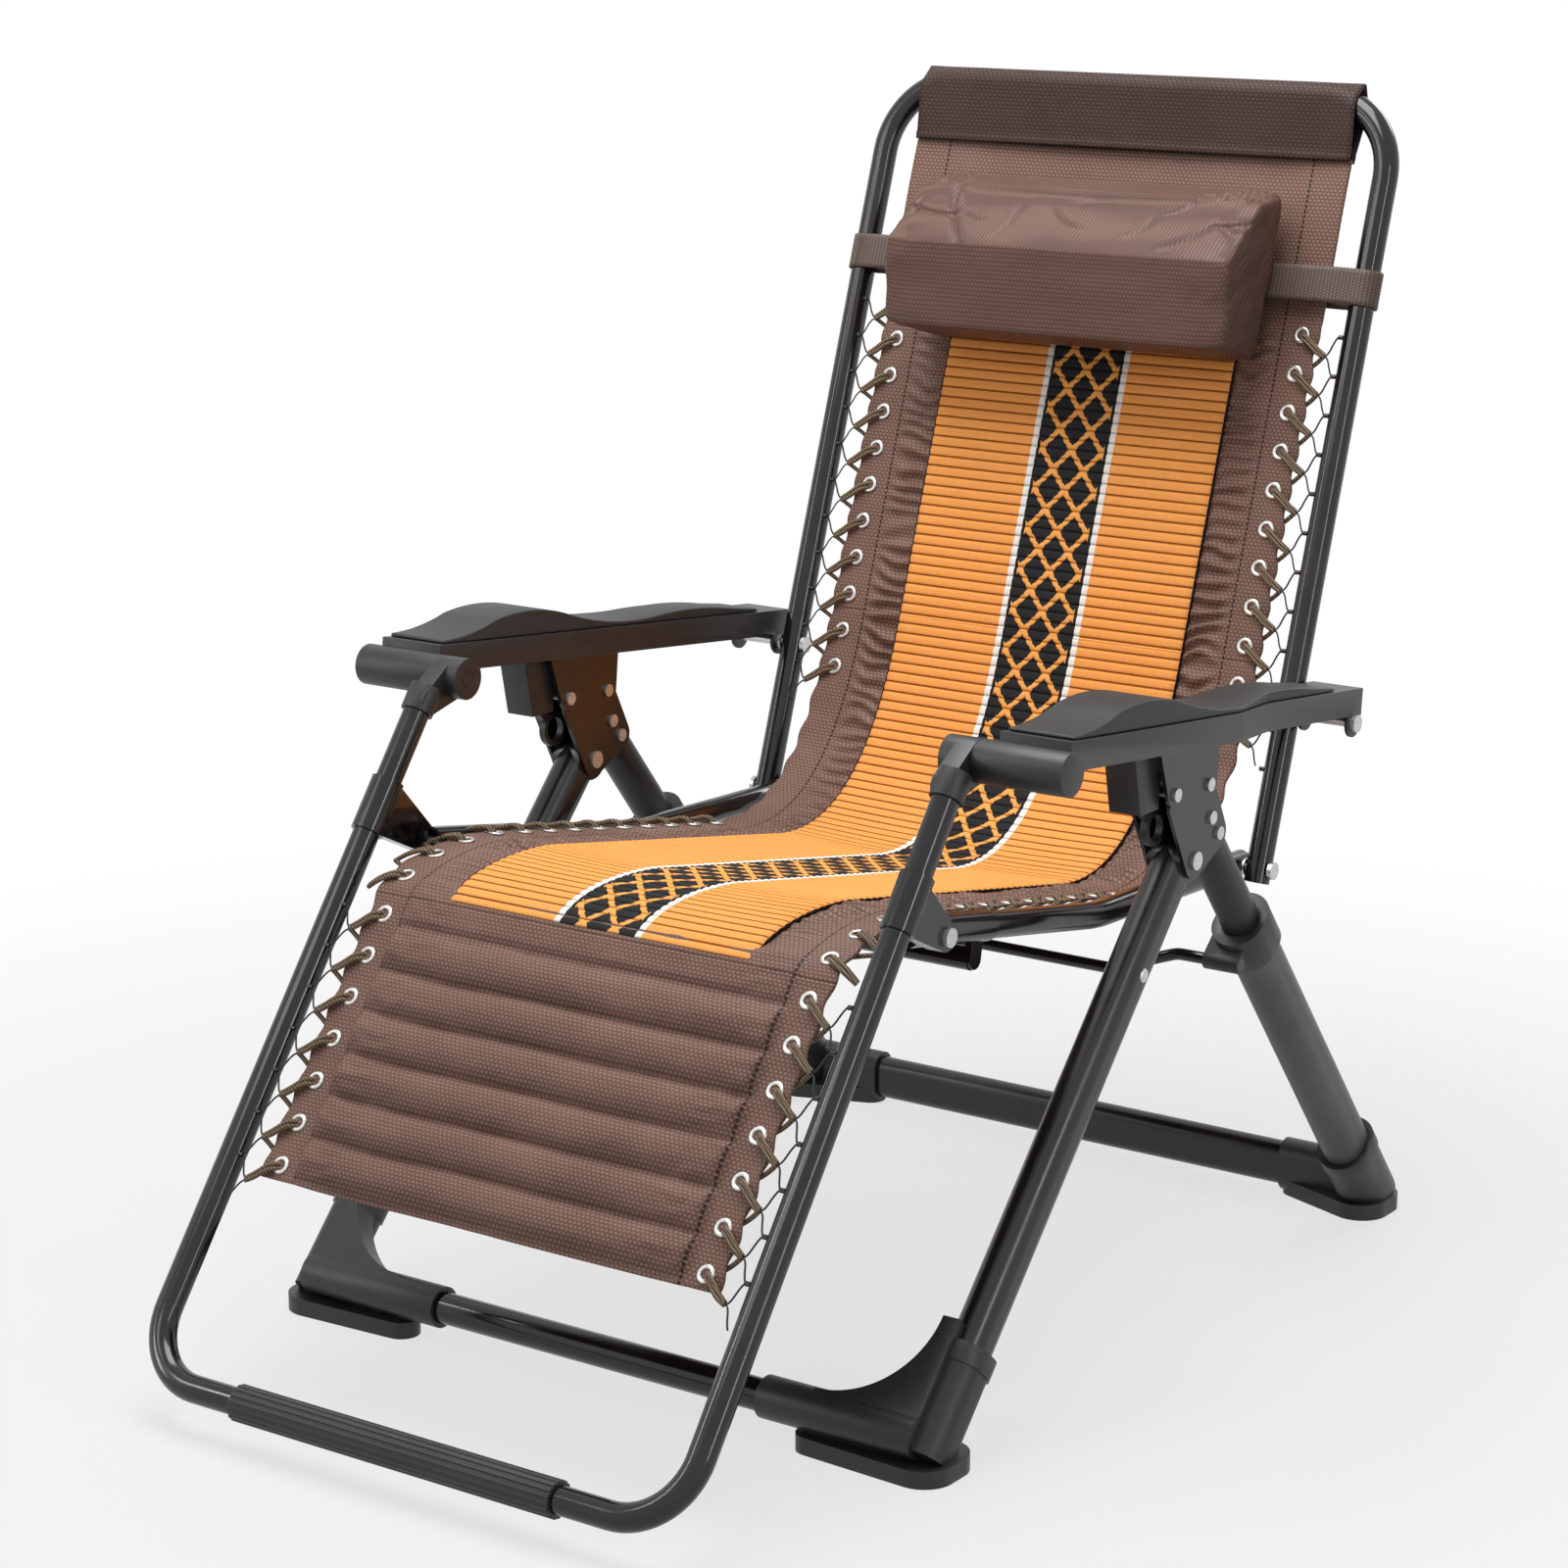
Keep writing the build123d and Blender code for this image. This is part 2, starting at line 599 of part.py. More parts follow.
with BuildPart() as armrest_pad_left:
    mirror(armrest_pad_right.part, about=Plane.YZ)
armrest_pad_left.part.label = "armrest_pad_left"
export_step(armrest_pad_left.part, "parts/armrest_pad_left.step")

# Hanger bracket under the armrest: two cheeks and a top web inside the channel
stand_t = (stand[0] - arm_a[0]) * (tray_rear[0] - arm_a[0]) / arm_length
stand_t += (stand[1] - arm_a[1]) * (tray_rear[1] - arm_a[1]) / arm_length
bracket_from = stand_t - bracket_front
bracket_to = stand_t + bracket_lobe
web_high = tray_high - tray_wall
corner_high = web_high - bracket_corner
cheek_lobes = [(stand, bracket_lobe), (stop_pin_at, bracket_low),
               (beside(arm_a, tray_rear, bracket_from + bracket_corner, corner_high), bracket_corner),
               (beside(arm_a, tray_rear, bracket_to - bracket_corner, corner_high), bracket_corner)]
with BuildPart() as arm_bracket_right:
    for side in (-1, 1):
        plate(leg_x + side * bracket_gap, leg_x + side * (bracket_gap + plate_t), cheek_lobes)
    with BuildSketch(arm_plane.offset(web_high - plate_t)):
        with Locations((leg_x, (bracket_from + bracket_to) / 2)):
            Rectangle(2 * (bracket_gap + plate_t), bracket_to - bracket_from)
    extrude(amount=plate_t)
    rod(stand, leg_x - tray_outer, leg_x + tray_outer, bolt_r + running_fit, Mode.SUBTRACT)
    rod(stop_pin_at, leg_x - tray_outer, leg_x + tray_outer, rivet_d / 2 + running_fit, Mode.SUBTRACT)
arm_bracket_right.part.label = "arm_bracket_right"
export_step(arm_bracket_right.part, "parts/arm_bracket_right.step")

with BuildPart() as arm_bracket_left:
    mirror(arm_bracket_right.part, about=Plane.YZ)
arm_bracket_left.part.label = "arm_bracket_left"
export_step(arm_bracket_left.part, "parts/arm_bracket_left.step")

cheek_face = bracket_gap + plate_t
with BuildPart() as bracket_bolts:
    for side in (-1, 1):
        rivet(stop_pin_at, side * leg_x - cheek_face, side * leg_x + cheek_face)
        rod(stand, side * leg_x - cheek_face, side * leg_x + cheek_face, bolt_r)
        for end in (-1, 1):
            face = side * leg_x + end * cheek_face
            rod(stand, face, face + end * rivet_head_t, rivet_head_d / 2)
bracket_bolts.part.label = "bracket_bolts"
export_step(bracket_bolts.part, "parts/bracket_bolts.step")

with BuildPart() as drum_pins:
    for side in (-1, 1):
        rod(arm_a, side * drum_inner, side * (drum_outer - tray_wall), drum_pin_d / 2)
drum_pins.part.label = "drum_pins"
export_step(drum_pins.part, "parts/drum_pins.step")

# Lock block in front of the bracket, slotted for the finger lever
lever_at = (stand_y - lever_pivot_run, stand_z + lever_pivot_rise)
ring_at = (stand_y - ring_run, stand_z - ring_drop)
lock_top_front = beside(arm_a, tray_rear, stand_t - lock_front, web_high - plate_t)
lock_top_rear = beside(arm_a, tray_rear, stand_t - lock_rear, web_high - plate_t)
lock_base = stand_z + lock_low
with BuildPart() as lock_block_right:
    with BuildSketch(Plane.YZ.offset(leg_x - lock_width / 2)):
        with BuildLine():
            Polyline(lock_top_front, lock_top_rear, (stand_y - lock_rear, lock_base),
                     (stand_y - lock_rear - lock_width, lock_base), lock_top_front)
        make_face()
    extrude(amount=lock_width)
    with BuildSketch(Plane.YZ.offset(leg_x - lever_thick / 2 - slide_gap)):
        with Locations(lever_at):
            Circle(knuckle_lobe)
            with Locations((lock_width / 2, -lock_width / 2)):
                Rectangle(lock_width, lock_width)
    extrude(amount=lever_thick + 2 * slide_gap, mode=Mode.SUBTRACT)
    rod(lever_at, leg_x - lock_width / 2 + plate_t, leg_x + lock_width / 2 - plate_t,
        lever_pin_d / 2 + running_fit, Mode.SUBTRACT)
lock_block_right.part.label = "lock_block_right"
export_step(lock_block_right.part, "parts/lock_block_right.step")

with BuildPart() as lock_block_left:
    mirror(lock_block_right.part, about=Plane.YZ)
lock_block_left.part.label = "lock_block_left"
export_step(lock_block_left.part, "parts/lock_block_left.step")

with BuildPart() as lock_lever_right:
    lever_low = leg_x - lever_thick / 2
    neck_at = between(ring_at, lever_at, ring_hole_d / 2 + lever_neck / 2)
    plate(lever_low, lever_low + lever_thick, [(lever_at, lever_pin_d), (neck_at, lever_neck)])
    rod(ring_at, lever_low, lever_low + lever_thick, ring_d / 2)
    rod(ring_at, lever_low, lever_low + lever_thick, ring_hole_d / 2, Mode.SUBTRACT)
    rod(lever_at, leg_x - lock_width / 2 + plate_t, leg_x + lock_width / 2 - plate_t, lever_pin_d / 2)
lock_lever_right.part.label = "lock_lever_right"
export_step(lock_lever_right.part, "parts/lock_lever_right.step")

with BuildPart() as lock_lever_left:
    mirror(lock_lever_right.part, about=Plane.YZ)
lock_lever_left.part.label = "lock_lever_left"
export_step(lock_lever_left.part, "parts/lock_lever_left.step")

# Bolts on which the back turns at the armrests' rear ends, each with its spacer
with BuildPart() as arm_rear_bolts:
    for side in (-1, 1):
        rod(arm_b, side * (tube_x - tube_r), side * tray_rear_outer, bolt_r)
        rod(arm_b, side * (tube_x - tube_r - bolt_head_t), side * (tube_x - tube_r), bolt_head_d / 2)
        rod(arm_b, side * (tube_x + tube_r + seat_gap), side * (tray_inner - seat_gap), bolt_head_d / 2)
        rod(arm_b, side * tray_rear_outer, side * (tray_rear_outer + bolt_head_t), bolt_head_d / 2)
arm_rear_bolts.part.label = "arm_rear_bolts"
export_step(arm_rear_bolts.part, "parts/arm_rear_bolts.step")

# Back: one round tube bent to a U, pivoted at the armrests and at the seat
back_plane = Plane((0, seat_c[0], seat_c[1]), x_dir=(1, 0, 0), z_dir=(0, -link_drop, link_run))
back_side = Plane((0, seat_c[0], seat_c[1]), x_dir=(0, link_run, link_drop), z_dir=(1, 0, 0))
with BuildPart() as back_tube:
    with BuildLine(back_plane) as back_path:
        FilletPolyline((-tube_x, -tube_past_pivot), (-tube_x, back_height), (tube_x, back_height),
                       (tube_x, -tube_past_pivot), radius=back_corner)
    with BuildSketch(Plane(back_path.line @ 0, z_dir=back_path.line % 0)):
        Circle(tube_r)
        Circle(tube_r - tube_wall, mode=Mode.SUBTRACT)
    sweep()
    for side in (-1, 1):
        for place in (arm_b, seat_c):
            rod(place, side * (tube_x - tube_d), side * (tube_x + tube_d), bolt_r + running_fit,
                Mode.SUBTRACT)
    pegs(seat_c, arm_b, back_rows)
back_tube.part.label = "back_tube"
export_step(back_tube.part, "parts/back_tube.step")

# Cloth pocket over the back's top bar
with BuildPart() as head_pocket:
    with BuildSketch(back_side.offset(-pocket_half)):
        with Locations((back_height, 0)):
            Circle(tube_r + pocket_skin)
        with Locations((back_height - pocket_drop / 2, 0)):
            Rectangle(pocket_drop, pocket_flap)
        with Locations((back_height, 0)):
            Circle(tube_r + seat_gap, mode=Mode.SUBTRACT)
    extrude(amount=2 * pocket_half)
head_pocket.part.label = "head_pocket"
export_step(head_pocket.part, "parts/head_pocket.step")

# Back cloth, mat and eyelets
back_spots = [(side * eyelet_x, row) for side in (-1, 1) for row in back_rows]
with BuildPart() as back_sling:
    with BuildSketch(back_plane.offset(-cloth_face)):
        with Locations((0, (back_cloth_low + back_cloth_high) / 2)):
            Rectangle(2 * cloth_half, back_cloth_high - back_cloth_low)
        with Locations(*back_spots):
            Circle(eyelet_barrel / 2 + seat_gap, mode=Mode.SUBTRACT)
    extrude(amount=cloth_t)
back_sling.part.label = "back_sling"
export_step(back_sling.part, "parts/back_sling.step")

with BuildPart() as back_mat:
    with BuildSketch(back_plane.offset(cloth_face + seat_gap)):
        with Locations((0, (back_cloth_low + back_mat_high) / 2)):
            RectangleRounded(2 * mat_half, back_mat_high - back_cloth_low, mat_t)
    extrude(amount=mat_t)
back_mat.part.label = "back_mat"
export_step(back_mat.part, "parts/back_mat.step")

with BuildPart() as back_eyelet_rings:
    with BuildSketch(back_plane.offset(-cloth_face)):
        with Locations(*back_spots):
            Circle(eyelet_barrel / 2)
            Circle(eyelet_bore / 2, mode=Mode.SUBTRACT)
    extrude(amount=cloth_t)
    with BuildSketch(back_plane.offset(cloth_face)):
        with Locations(*back_spots):
            Circle(eyelet_d / 2)
            Circle(eyelet_bore / 2, mode=Mode.SUBTRACT)
    extrude(amount=eyelet_rim)
back_eyelet_rings.part.label = "back_eyelet_rings"
export_step(back_eyelet_rings.part, "parts/back_eyelet_rings.step")

# Lacing: an elastic zigzag from the eyelets to hook points, tied to pegs on the tube by a thin string


def tip_cut(pitch, reach, bend):
    """How far a zigzag's rounded tip stays inside its corner."""
    return bend * (math.hypot(pitch / 2, reach) / (pitch / 2) - 1)


def string_turn(pitch):
    """Where the string turns round the lace's tip, from the middle of the chair."""
    tip = eyelet_x + lace_reach - tip_cut(pitch, lace_reach, lace_bend)
    touch = tip + (lace_d + string_d) / 2 + seat_gap
    return touch - tip_cut(pitch, string_out - touch, string_bend)


def zigzag(first, count, pitch, near, far):
    """Turning points of a zigzag up one side: near at each row, far half-way between rows."""
    points = []
    for row in range(count):
        points.append((near, first + pitch * row))
        if row < count - 1:
            points.append((far, first + pitch * (row + 0.5)))
    return points


def lace(plane, points, bend, diameter):
    """One unbroken cord along the points, with a mirrored one on the other side."""
    for side in (-1, 1):
        with BuildLine(plane) as route:
            FilletPolyline(*[(side * x, y) for x, y in points], radius=bend)
        with BuildSketch(Plane(route.line @ 0, z_dir=route.line % 0)) as section:
            Circle(diameter / 2)
        sweep(section.sketch, path=route.line)


with BuildPart() as back_lacing:
    lace(back_plane.offset(lace_high),
         zigzag(back_eyelet_low, back_eyelets, eyelet_pitch, eyelet_x, hook_x), lace_bend, lace_d)
back_lacing.part.label = "back_lacing"
export_step(back_lacing.part, "parts/back_lacing.step")

with BuildPart() as back_string:
    back_turn = string_turn(eyelet_pitch)
    lace(back_plane.offset(lace_high),
         zigzag(back_eyelet_low, back_eyelets, eyelet_pitch, string_out, back_turn), string_bend, string_d)
back_string.part.label = "back_string"
export_step(back_string.part, "parts/back_string.step")

# Head pillow: a boxy wedge with crowned faces and drawn-in ends, on a strap round the back's tubes
strap_in = tube_r + slide_gap
pillow_back = strap_in + strap_t + seat_gap
pillow_mid = (pillow_low + pillow_high) / 2


def crowned(start, end, crown):
    """An arc from start to end that stands out to its right by the crown."""
    length = math.dist(start, end)
    middle = ((start[0] + end[0]) / 2, (start[1] + end[1]) / 2)
    out = ((end[1] - start[1]) / length * crown, (start[0] - end[0]) / length * crown)
    return ThreePointArc(start, (middle[0] + out[0], middle[1] + out[1]), end)


with BuildPart() as head_pillow:
    for share, drawn in ((-1.0, pillow_edge), (-pillow_body, 0.0), (pillow_body, 0.0), (1.0, pillow_edge)):
        with BuildSketch(back_side.offset(share * pillow_half)):
            back_low = (pillow_low + drawn / 2, pillow_back)
            back_high = (pillow_high - drawn / 2, pillow_back)
            ridge = (pillow_ridge, pillow_back + pillow_t - drawn)
            foot = (pillow_low + drawn / 2, pillow_back + pillow_foot_t - drawn)
            with BuildLine():
                Line(back_high, back_low)
                crowned(back_low, foot, pillow_crown / 2)
                crowned(foot, ridge, pillow_crown)
                crowned(ridge, back_high, pillow_crown)
            make_face()
    loft(ruled=True)
head_pillow.part.label = "head_pillow"
export_step(head_pillow.part, "parts/head_pillow.step")

strap_mid = Plane(back_side.origin + back_side.x_dir * (pillow_mid - strap_width / 2), x_dir=(1, 0, 0),
                  z_dir=back_side.x_dir)
with BuildPart() as pillow_strap:
    with BuildSketch(strap_mid):
        SlotOverall(2 * (tube_x + strap_in + strap_t), 2 * (strap_in + strap_t))
        SlotOverall(2 * (tube_x + strap_in), 2 * strap_in, mode=Mode.SUBTRACT)
    extrude(amount=strap_width)
pillow_strap.part.label = "pillow_strap"
export_step(pillow_strap.part, "parts/pillow_strap.step")

# Seat rails: bent tubes inside the back's, from the legrest's bolts to the back's lower bolts
rail_plane = Plane((0, seat_d[0], seat_d[1]), x_dir=(1, 0, 0),
                   z_dir=(0, seat_d[1] - rail_bend_at[1], rail_bend_at[0] - seat_d[0]))
cloth_plane = rail_plane.offset(seat_cloth_rise)
rail_front = between(seat_d, rail_bend_at, -rail_past_pivot)
rail_rear = between(seat_c, rail_bend_at, -rail_past_pivot)
with BuildPart() as seat_rail_right:
    with BuildLine(Plane.YZ.offset(rail_x)) as rail_path:
        FilletPolyline(rail_front, rail_bend_at, rail_rear, radius=rail_bend)
    with BuildSketch(Plane(rail_path.line @ 0, z_dir=rail_path.line % 0)):
        Circle(tube_r)
        Circle(tube_r - tube_wall, mode=Mode.SUBTRACT)
    sweep()
    with BuildSketch(across(rail_x, rail_front, rail_bend_at, 0)):
        Circle(rail_step_d / 2)
        Circle(tube_r - tube_wall, mode=Mode.SUBTRACT)
    extrude(amount=rail_step_length)
    for place in (seat_c, seat_d):
        rod(place, rail_x - tube_d, rail_x + tube_d, bolt_r + running_fit, Mode.SUBTRACT)
seat_rail_right.part.label = "seat_rail_right"
export_step(seat_rail_right.part, "parts/seat_rail_right.step")

with BuildPart() as seat_rail_left:
    mirror(seat_rail_right.part, about=Plane.YZ)
seat_rail_left.part.label = "seat_rail_left"
export_step(seat_rail_left.part, "parts/seat_rail_left.step")

# Bolts through rail and back at the rear, through rail and legrest ear at the front, with a washer between
ear_inner = rail_x + rail_step_d / 2 + washer_t + 2 * seat_gap
ear_outer = ear_inner + ear_t
with BuildPart() as seat_rear_bolts:
    for side in (-1, 1):
        rod(seat_c, side * (rail_x - tube_r), side * (tube_x + tube_r), bolt_r)
        rod(seat_c, side * (rail_x - tube_r - bolt_head_t), side * (rail_x - tube_r), bolt_head_d / 2)
        rod(seat_c, side * (rail_x + tube_r + seat_gap), side * (tube_x - tube_r - seat_gap), bolt_head_d / 2)
        rod(seat_c, side * (tube_x + tube_r), side * (tube_x + tube_r + bolt_head_t), bolt_head_d / 2)
seat_rear_bolts.part.label = "seat_rear_bolts"
export_step(seat_rear_bolts.part, "parts/seat_rear_bolts.step")

rail_face = rail_x - rail_step_d / 2
with BuildPart() as seat_front_bolts:
    for side in (-1, 1):
        rod(seat_d, side * rail_face, side * (ear_outer + bolt_head_t), bolt_r)
        rod(seat_d, side * (rail_face - bolt_head_t), side * rail_face, bolt_head_d / 2)
        rod(seat_d, side * (ear_inner - washer_t - seat_gap), side * (ear_inner - seat_gap), bolt_head_d / 2)
        rod(seat_d, side * (ear_outer + seat_gap), side * (ear_outer + bolt_head_t), bolt_head_d / 2)
seat_front_bolts.part.label = "seat_front_bolts"
export_step(seat_front_bolts.part, "parts/seat_front_bolts.step")

# Bar under the front of the seat, hung from the rails by two short lugs
seat_bar_top = between(seat_d, rail_bend_at, seat_bar_from_front)
seat_bar_at = beside(seat_d, rail_bend_at, seat_bar_from_front, -seat_bar_drop)
with BuildPart() as seat_bar:
    rod(seat_bar_at, -rail_x, rail_x, seat_bar_d / 2)
    for side in (-1, 1):
        plate(side * rail_x - plate_t, side * rail_x + plate_t,
              [(seat_bar_at, seat_bar_lug / 2), (seat_bar_top, seat_bar_lug / 2)])
    for side in (-1, 1):
        with BuildSketch(across(side * rail_x, rail_front, rail_bend_at, 0)) as rail_space:
            Circle(rail_step_d / 2 + seat_gap)
        extrude(rail_space.sketch, amount=2 * rail_step_length, mode=Mode.SUBTRACT)
seat_bar.part.label = "seat_bar"
export_step(seat_bar.part, "parts/seat_bar.step")

# Seat cloth, mat, eyelets and lacing
seat_spots = [(side * eyelet_x, seat_eyelet_low + eyelet_pitch * row) for side in (-1, 1)
              for row in range(seat_eyelets)]
with BuildPart() as seat_sling:
    with BuildSketch(cloth_plane.offset(-cloth_face)):
        with Locations((0, (seat_cloth_front + seat_cloth_end) / 2)):
            Rectangle(2 * seat_cloth_half, seat_cloth_end - seat_cloth_front)
        with Locations(*seat_spots):
            Circle(eyelet_barrel / 2 + seat_gap, mode=Mode.SUBTRACT)
    extrude(amount=cloth_t)
seat_sling.part.label = "seat_sling"
export_step(seat_sling.part, "parts/seat_sling.step")

with BuildPart() as seat_mat:
    with BuildSketch(cloth_plane.offset(cloth_face + seat_gap)):
        with Locations((0, (seat_cloth_front + seat_cloth_end) / 2)):
            RectangleRounded(2 * mat_half, seat_cloth_end - seat_cloth_front, mat_t)
    extrude(amount=mat_t)
seat_mat.part.label = "seat_mat"
export_step(seat_mat.part, "parts/seat_mat.step")

with BuildPart() as seat_eyelet_rings:
    with BuildSketch(cloth_plane.offset(-cloth_face)):
        with Locations(*seat_spots):
            Circle(eyelet_barrel / 2)
            Circle(eyelet_bore / 2, mode=Mode.SUBTRACT)
    extrude(amount=cloth_t)
    with BuildSketch(cloth_plane.offset(cloth_face)):
        with Locations(*seat_spots):
            Circle(eyelet_d / 2)
            Circle(eyelet_bore / 2, mode=Mode.SUBTRACT)
    extrude(amount=eyelet_rim)
seat_eyelet_rings.part.label = "seat_eyelet_rings"
export_step(seat_eyelet_rings.part, "parts/seat_eyelet_rings.step")

rail_edge = rail_x - (rail_step_d + lace_d) / 2 - seat_gap
with BuildPart() as seat_lacing:
    lace(cloth_plane.offset(lace_high),
         zigzag(seat_eyelet_low, seat_eyelets, eyelet_pitch, eyelet_x, rail_edge), lace_bend, lace_d)
seat_lacing.part.label = "seat_lacing"
export_step(seat_lacing.part, "parts/seat_lacing.step")

# Legrest: one round tube bent to a U, its upper ends in the inner ends of the armrest drums
lean = math.radians(legrest_lean)
leg_up = (math.sin(lean), math.cos(lean))
leg_top = (arm_a[0] - legrest_offset * math.cos(lean), arm_a[1] + legrest_offset * math.sin(lean))
leg_low = (leg_top[0] - legrest_length * leg_up[0], leg_top[1] - legrest_length * leg_up[1])
leg_plane = Plane((0, leg_low[0], leg_low[1]), x_dir=(1, 0, 0), z_dir=(0, -leg_up[1], leg_up[0]))
leg_side = Plane((0, leg_low[0], leg_low[1]), x_dir=(0, leg_up[0], leg_up[1]), z_dir=(1, 0, 0))
leg_tube_end = legrest_length - drum_d / 2 - plate_t
with BuildPart() as legrest_tube:
    with BuildLine(leg_plane) as leg_path:
        FilletPolyline((-tube_x, leg_tube_end), (-tube_x, 0), (tube_x, 0), (tube_x, leg_tube_end),
                       radius=legrest_corner)
    with BuildSketch(Plane(leg_path.line @ 0, z_dir=leg_path.line % 0)):
        Circle(tube_r)
        Circle(tube_r - tube_wall, mode=Mode.SUBTRACT)
    sweep()
    pegs(leg_low, leg_top, leg_rows)
legrest_tube.part.label = "legrest_tube"
export_step(legrest_tube.part, "parts/legrest_tube.step")

sleeve_from = leg_tube_end - tube_d
with BuildPart() as legrest_head_right:
    rod(arm_a, drum_inner, drum_seam, drum_d / 2)
    sleeve_mid = between(leg_low, leg_top, sleeve_from + tube_r)
    plate(tube_x - tube_r, drum_seam, [(arm_a, drum_d / 2), (sleeve_mid, tube_r)])
    with BuildSketch(across(tube_x, leg_low, leg_top, sleeve_from)):
        Circle(tube_r + sleeve_t)
    extrude(amount=tube_d + slide_gap)
    with BuildSketch(across(tube_x, leg_low, leg_top, sleeve_from)):
        Circle(tube_r + seat_gap / 2)
    extrude(amount=tube_d, mode=Mode.SUBTRACT)
    rod(arm_a, drum_inner, drum_seam, drum_pin_d / 2 + open_pivot_gap, Mode.SUBTRACT)
legrest_head_right.part.label = "legrest_head_right"
export_step(legrest_head_right.part, "parts/legrest_head_right.step")

with BuildPart() as legrest_head_left:
    mirror(legrest_head_right.part, about=Plane.YZ)
legrest_head_left.part.label = "legrest_head_left"
export_step(legrest_head_left.part, "parts/legrest_head_left.step")

bolt_level = (seat_d[0] - leg_low[0]) * leg_up[0] + (seat_d[1] - leg_low[1]) * leg_up[1]
ear_root = sleeve_length / 2 - plate_t
with BuildPart() as legrest_ear_right:
    with BuildSketch(across(tube_x, leg_low, leg_top, bolt_level - sleeve_length / 2)):
        Circle(tube_r + sleeve_t)
    extrude(amount=sleeve_length)
    root_low = between(leg_low, leg_top, bolt_level - ear_root)
    root_high = between(leg_low, leg_top, bolt_level + ear_root)
    plate(ear_inner, ear_outer, [(root_low, plate_t), (root_high, plate_t), (seat_d, ear_lobe)])
    with BuildSketch(across(tube_x, leg_low, leg_top, bolt_level - sleeve_length / 2)):
        Circle(tube_r + seat_gap / 2)
    extrude(amount=sleeve_length, mode=Mode.SUBTRACT)
    rod(seat_d, ear_inner, ear_outer, bolt_r + running_fit, Mode.SUBTRACT)
legrest_ear_right.part.label = "legrest_ear_right"
export_step(legrest_ear_right.part, "parts/legrest_ear_right.step")

with BuildPart() as legrest_ear_left:
    mirror(legrest_ear_right.part, about=Plane.YZ)
legrest_ear_left.part.label = "legrest_ear_left"
export_step(legrest_ear_left.part, "parts/legrest_ear_left.step")

# Grip sleeve on the legrest's bottom bar, fluted along its length
with BuildPart() as legrest_grip:
    with BuildSketch(Plane.YZ.offset(-grip_half)):
        with Locations(leg_low):
            Circle(grip_d / 2)
            with PolarLocations(grip_d / 2, grip_flutes):
                Circle(grip_flute / 2, mode=Mode.SUBTRACT)
            Circle(tube_r + seat_gap / 2, mode=Mode.SUBTRACT)
    extrude(amount=2 * grip_half)
legrest_grip.part.label = "legrest_grip"
export_step(legrest_grip.part, "parts/legrest_grip.step")

# Legrest cloth: padded across in channels between flat side margins
channel = (leg_cloth_high - leg_cloth_low) / leg_channels
leg_spots = [(side * eyelet_x, row) for side in (-1, 1) for row in leg_rows]
with BuildPart() as legrest_sling:
    with BuildSketch(leg_plane.offset(-cloth_face)):
        with Locations((0, (leg_cloth_low + leg_cloth_high) / 2)):
            Rectangle(2 * cloth_half, leg_cloth_high - leg_cloth_low)
        with Locations(*leg_spots):
            Circle(eyelet_barrel / 2 + seat_gap, mode=Mode.SUBTRACT)
    extrude(amount=cloth_t)
    with BuildSketch(leg_side.offset(-leg_channel_half)):
        with BuildLine():
            Line((leg_cloth_high, cloth_face), (leg_cloth_high, 0))
            Line((leg_cloth_high, 0), (leg_cloth_low, 0))
            Line((leg_cloth_low, 0), (leg_cloth_low, cloth_face))
            for row in range(leg_channels):
                seam = leg_cloth_low + channel * row
                ThreePointArc((seam, cloth_face), (seam + channel / 2, cloth_face + leg_channel_crown),
                              (seam + channel, cloth_face))
        make_face()
    extrude(amount=2 * leg_channel_half)
legrest_sling.part.label = "legrest_sling"
export_step(legrest_sling.part, "parts/legrest_sling.step")

# Knee cloth: the sling's rounded turn from the seat down to the legrest, carried by the legrest
knee_low = between(leg_low, leg_top, leg_cloth_high + cloth_t + seat_gap)
knee_back = beside(seat_d, rail_bend_at, seat_cloth_front - knee_clear, seat_cloth_rise + cloth_face)
knee_chord = Plane((0, knee_low[0], knee_low[1]), z_dir=(1, 0, 0),
                   x_dir=(0, knee_back[0] - knee_low[0], knee_back[1] - knee_low[1]))
knee_span = math.dist(knee_low, knee_back)
with BuildPart() as knee_sling:
    with BuildSketch(knee_chord.offset(-knee_half)):
        with BuildLine():
            ThreePointArc((0, 0), (knee_span / 2, knee_rise), (knee_span, 0))
            Line((knee_span, 0), (knee_span, -cloth_t))
            ThreePointArc((knee_span, -cloth_t), (knee_span / 2, knee_rise - cloth_t), (0, -cloth_t))
            Line((0, -cloth_t), (0, 0))
        make_face()
    extrude(amount=2 * knee_half)
knee_sling.part.label = "knee_sling"
export_step(knee_sling.part, "parts/knee_sling.step")

with BuildPart() as legrest_eyelet_rings:
    with BuildSketch(leg_plane.offset(-cloth_face)):
        with Locations(*leg_spots):
            Circle(eyelet_barrel / 2)
            Circle(eyelet_bore / 2, mode=Mode.SUBTRACT)
    extrude(amount=cloth_t)
    with BuildSketch(leg_plane.offset(cloth_face)):
        with Locations(*leg_spots):
            Circle(eyelet_d / 2)
            Circle(eyelet_bore / 2, mode=Mode.SUBTRACT)
    extrude(amount=eyelet_rim)
legrest_eyelet_rings.part.label = "legrest_eyelet_rings"
export_step(legrest_eyelet_rings.part, "parts/legrest_eyelet_rings.step")

with BuildPart() as legrest_lacing:
    lace(leg_plane.offset(lace_high),
         zigzag(leg_eyelet_low, leg_eyelets, leg_eyelet_pitch, eyelet_x, hook_x), lace_bend, lace_d)
legrest_lacing.part.label = "legrest_lacing"
export_step(legrest_lacing.part, "parts/legrest_lacing.step")

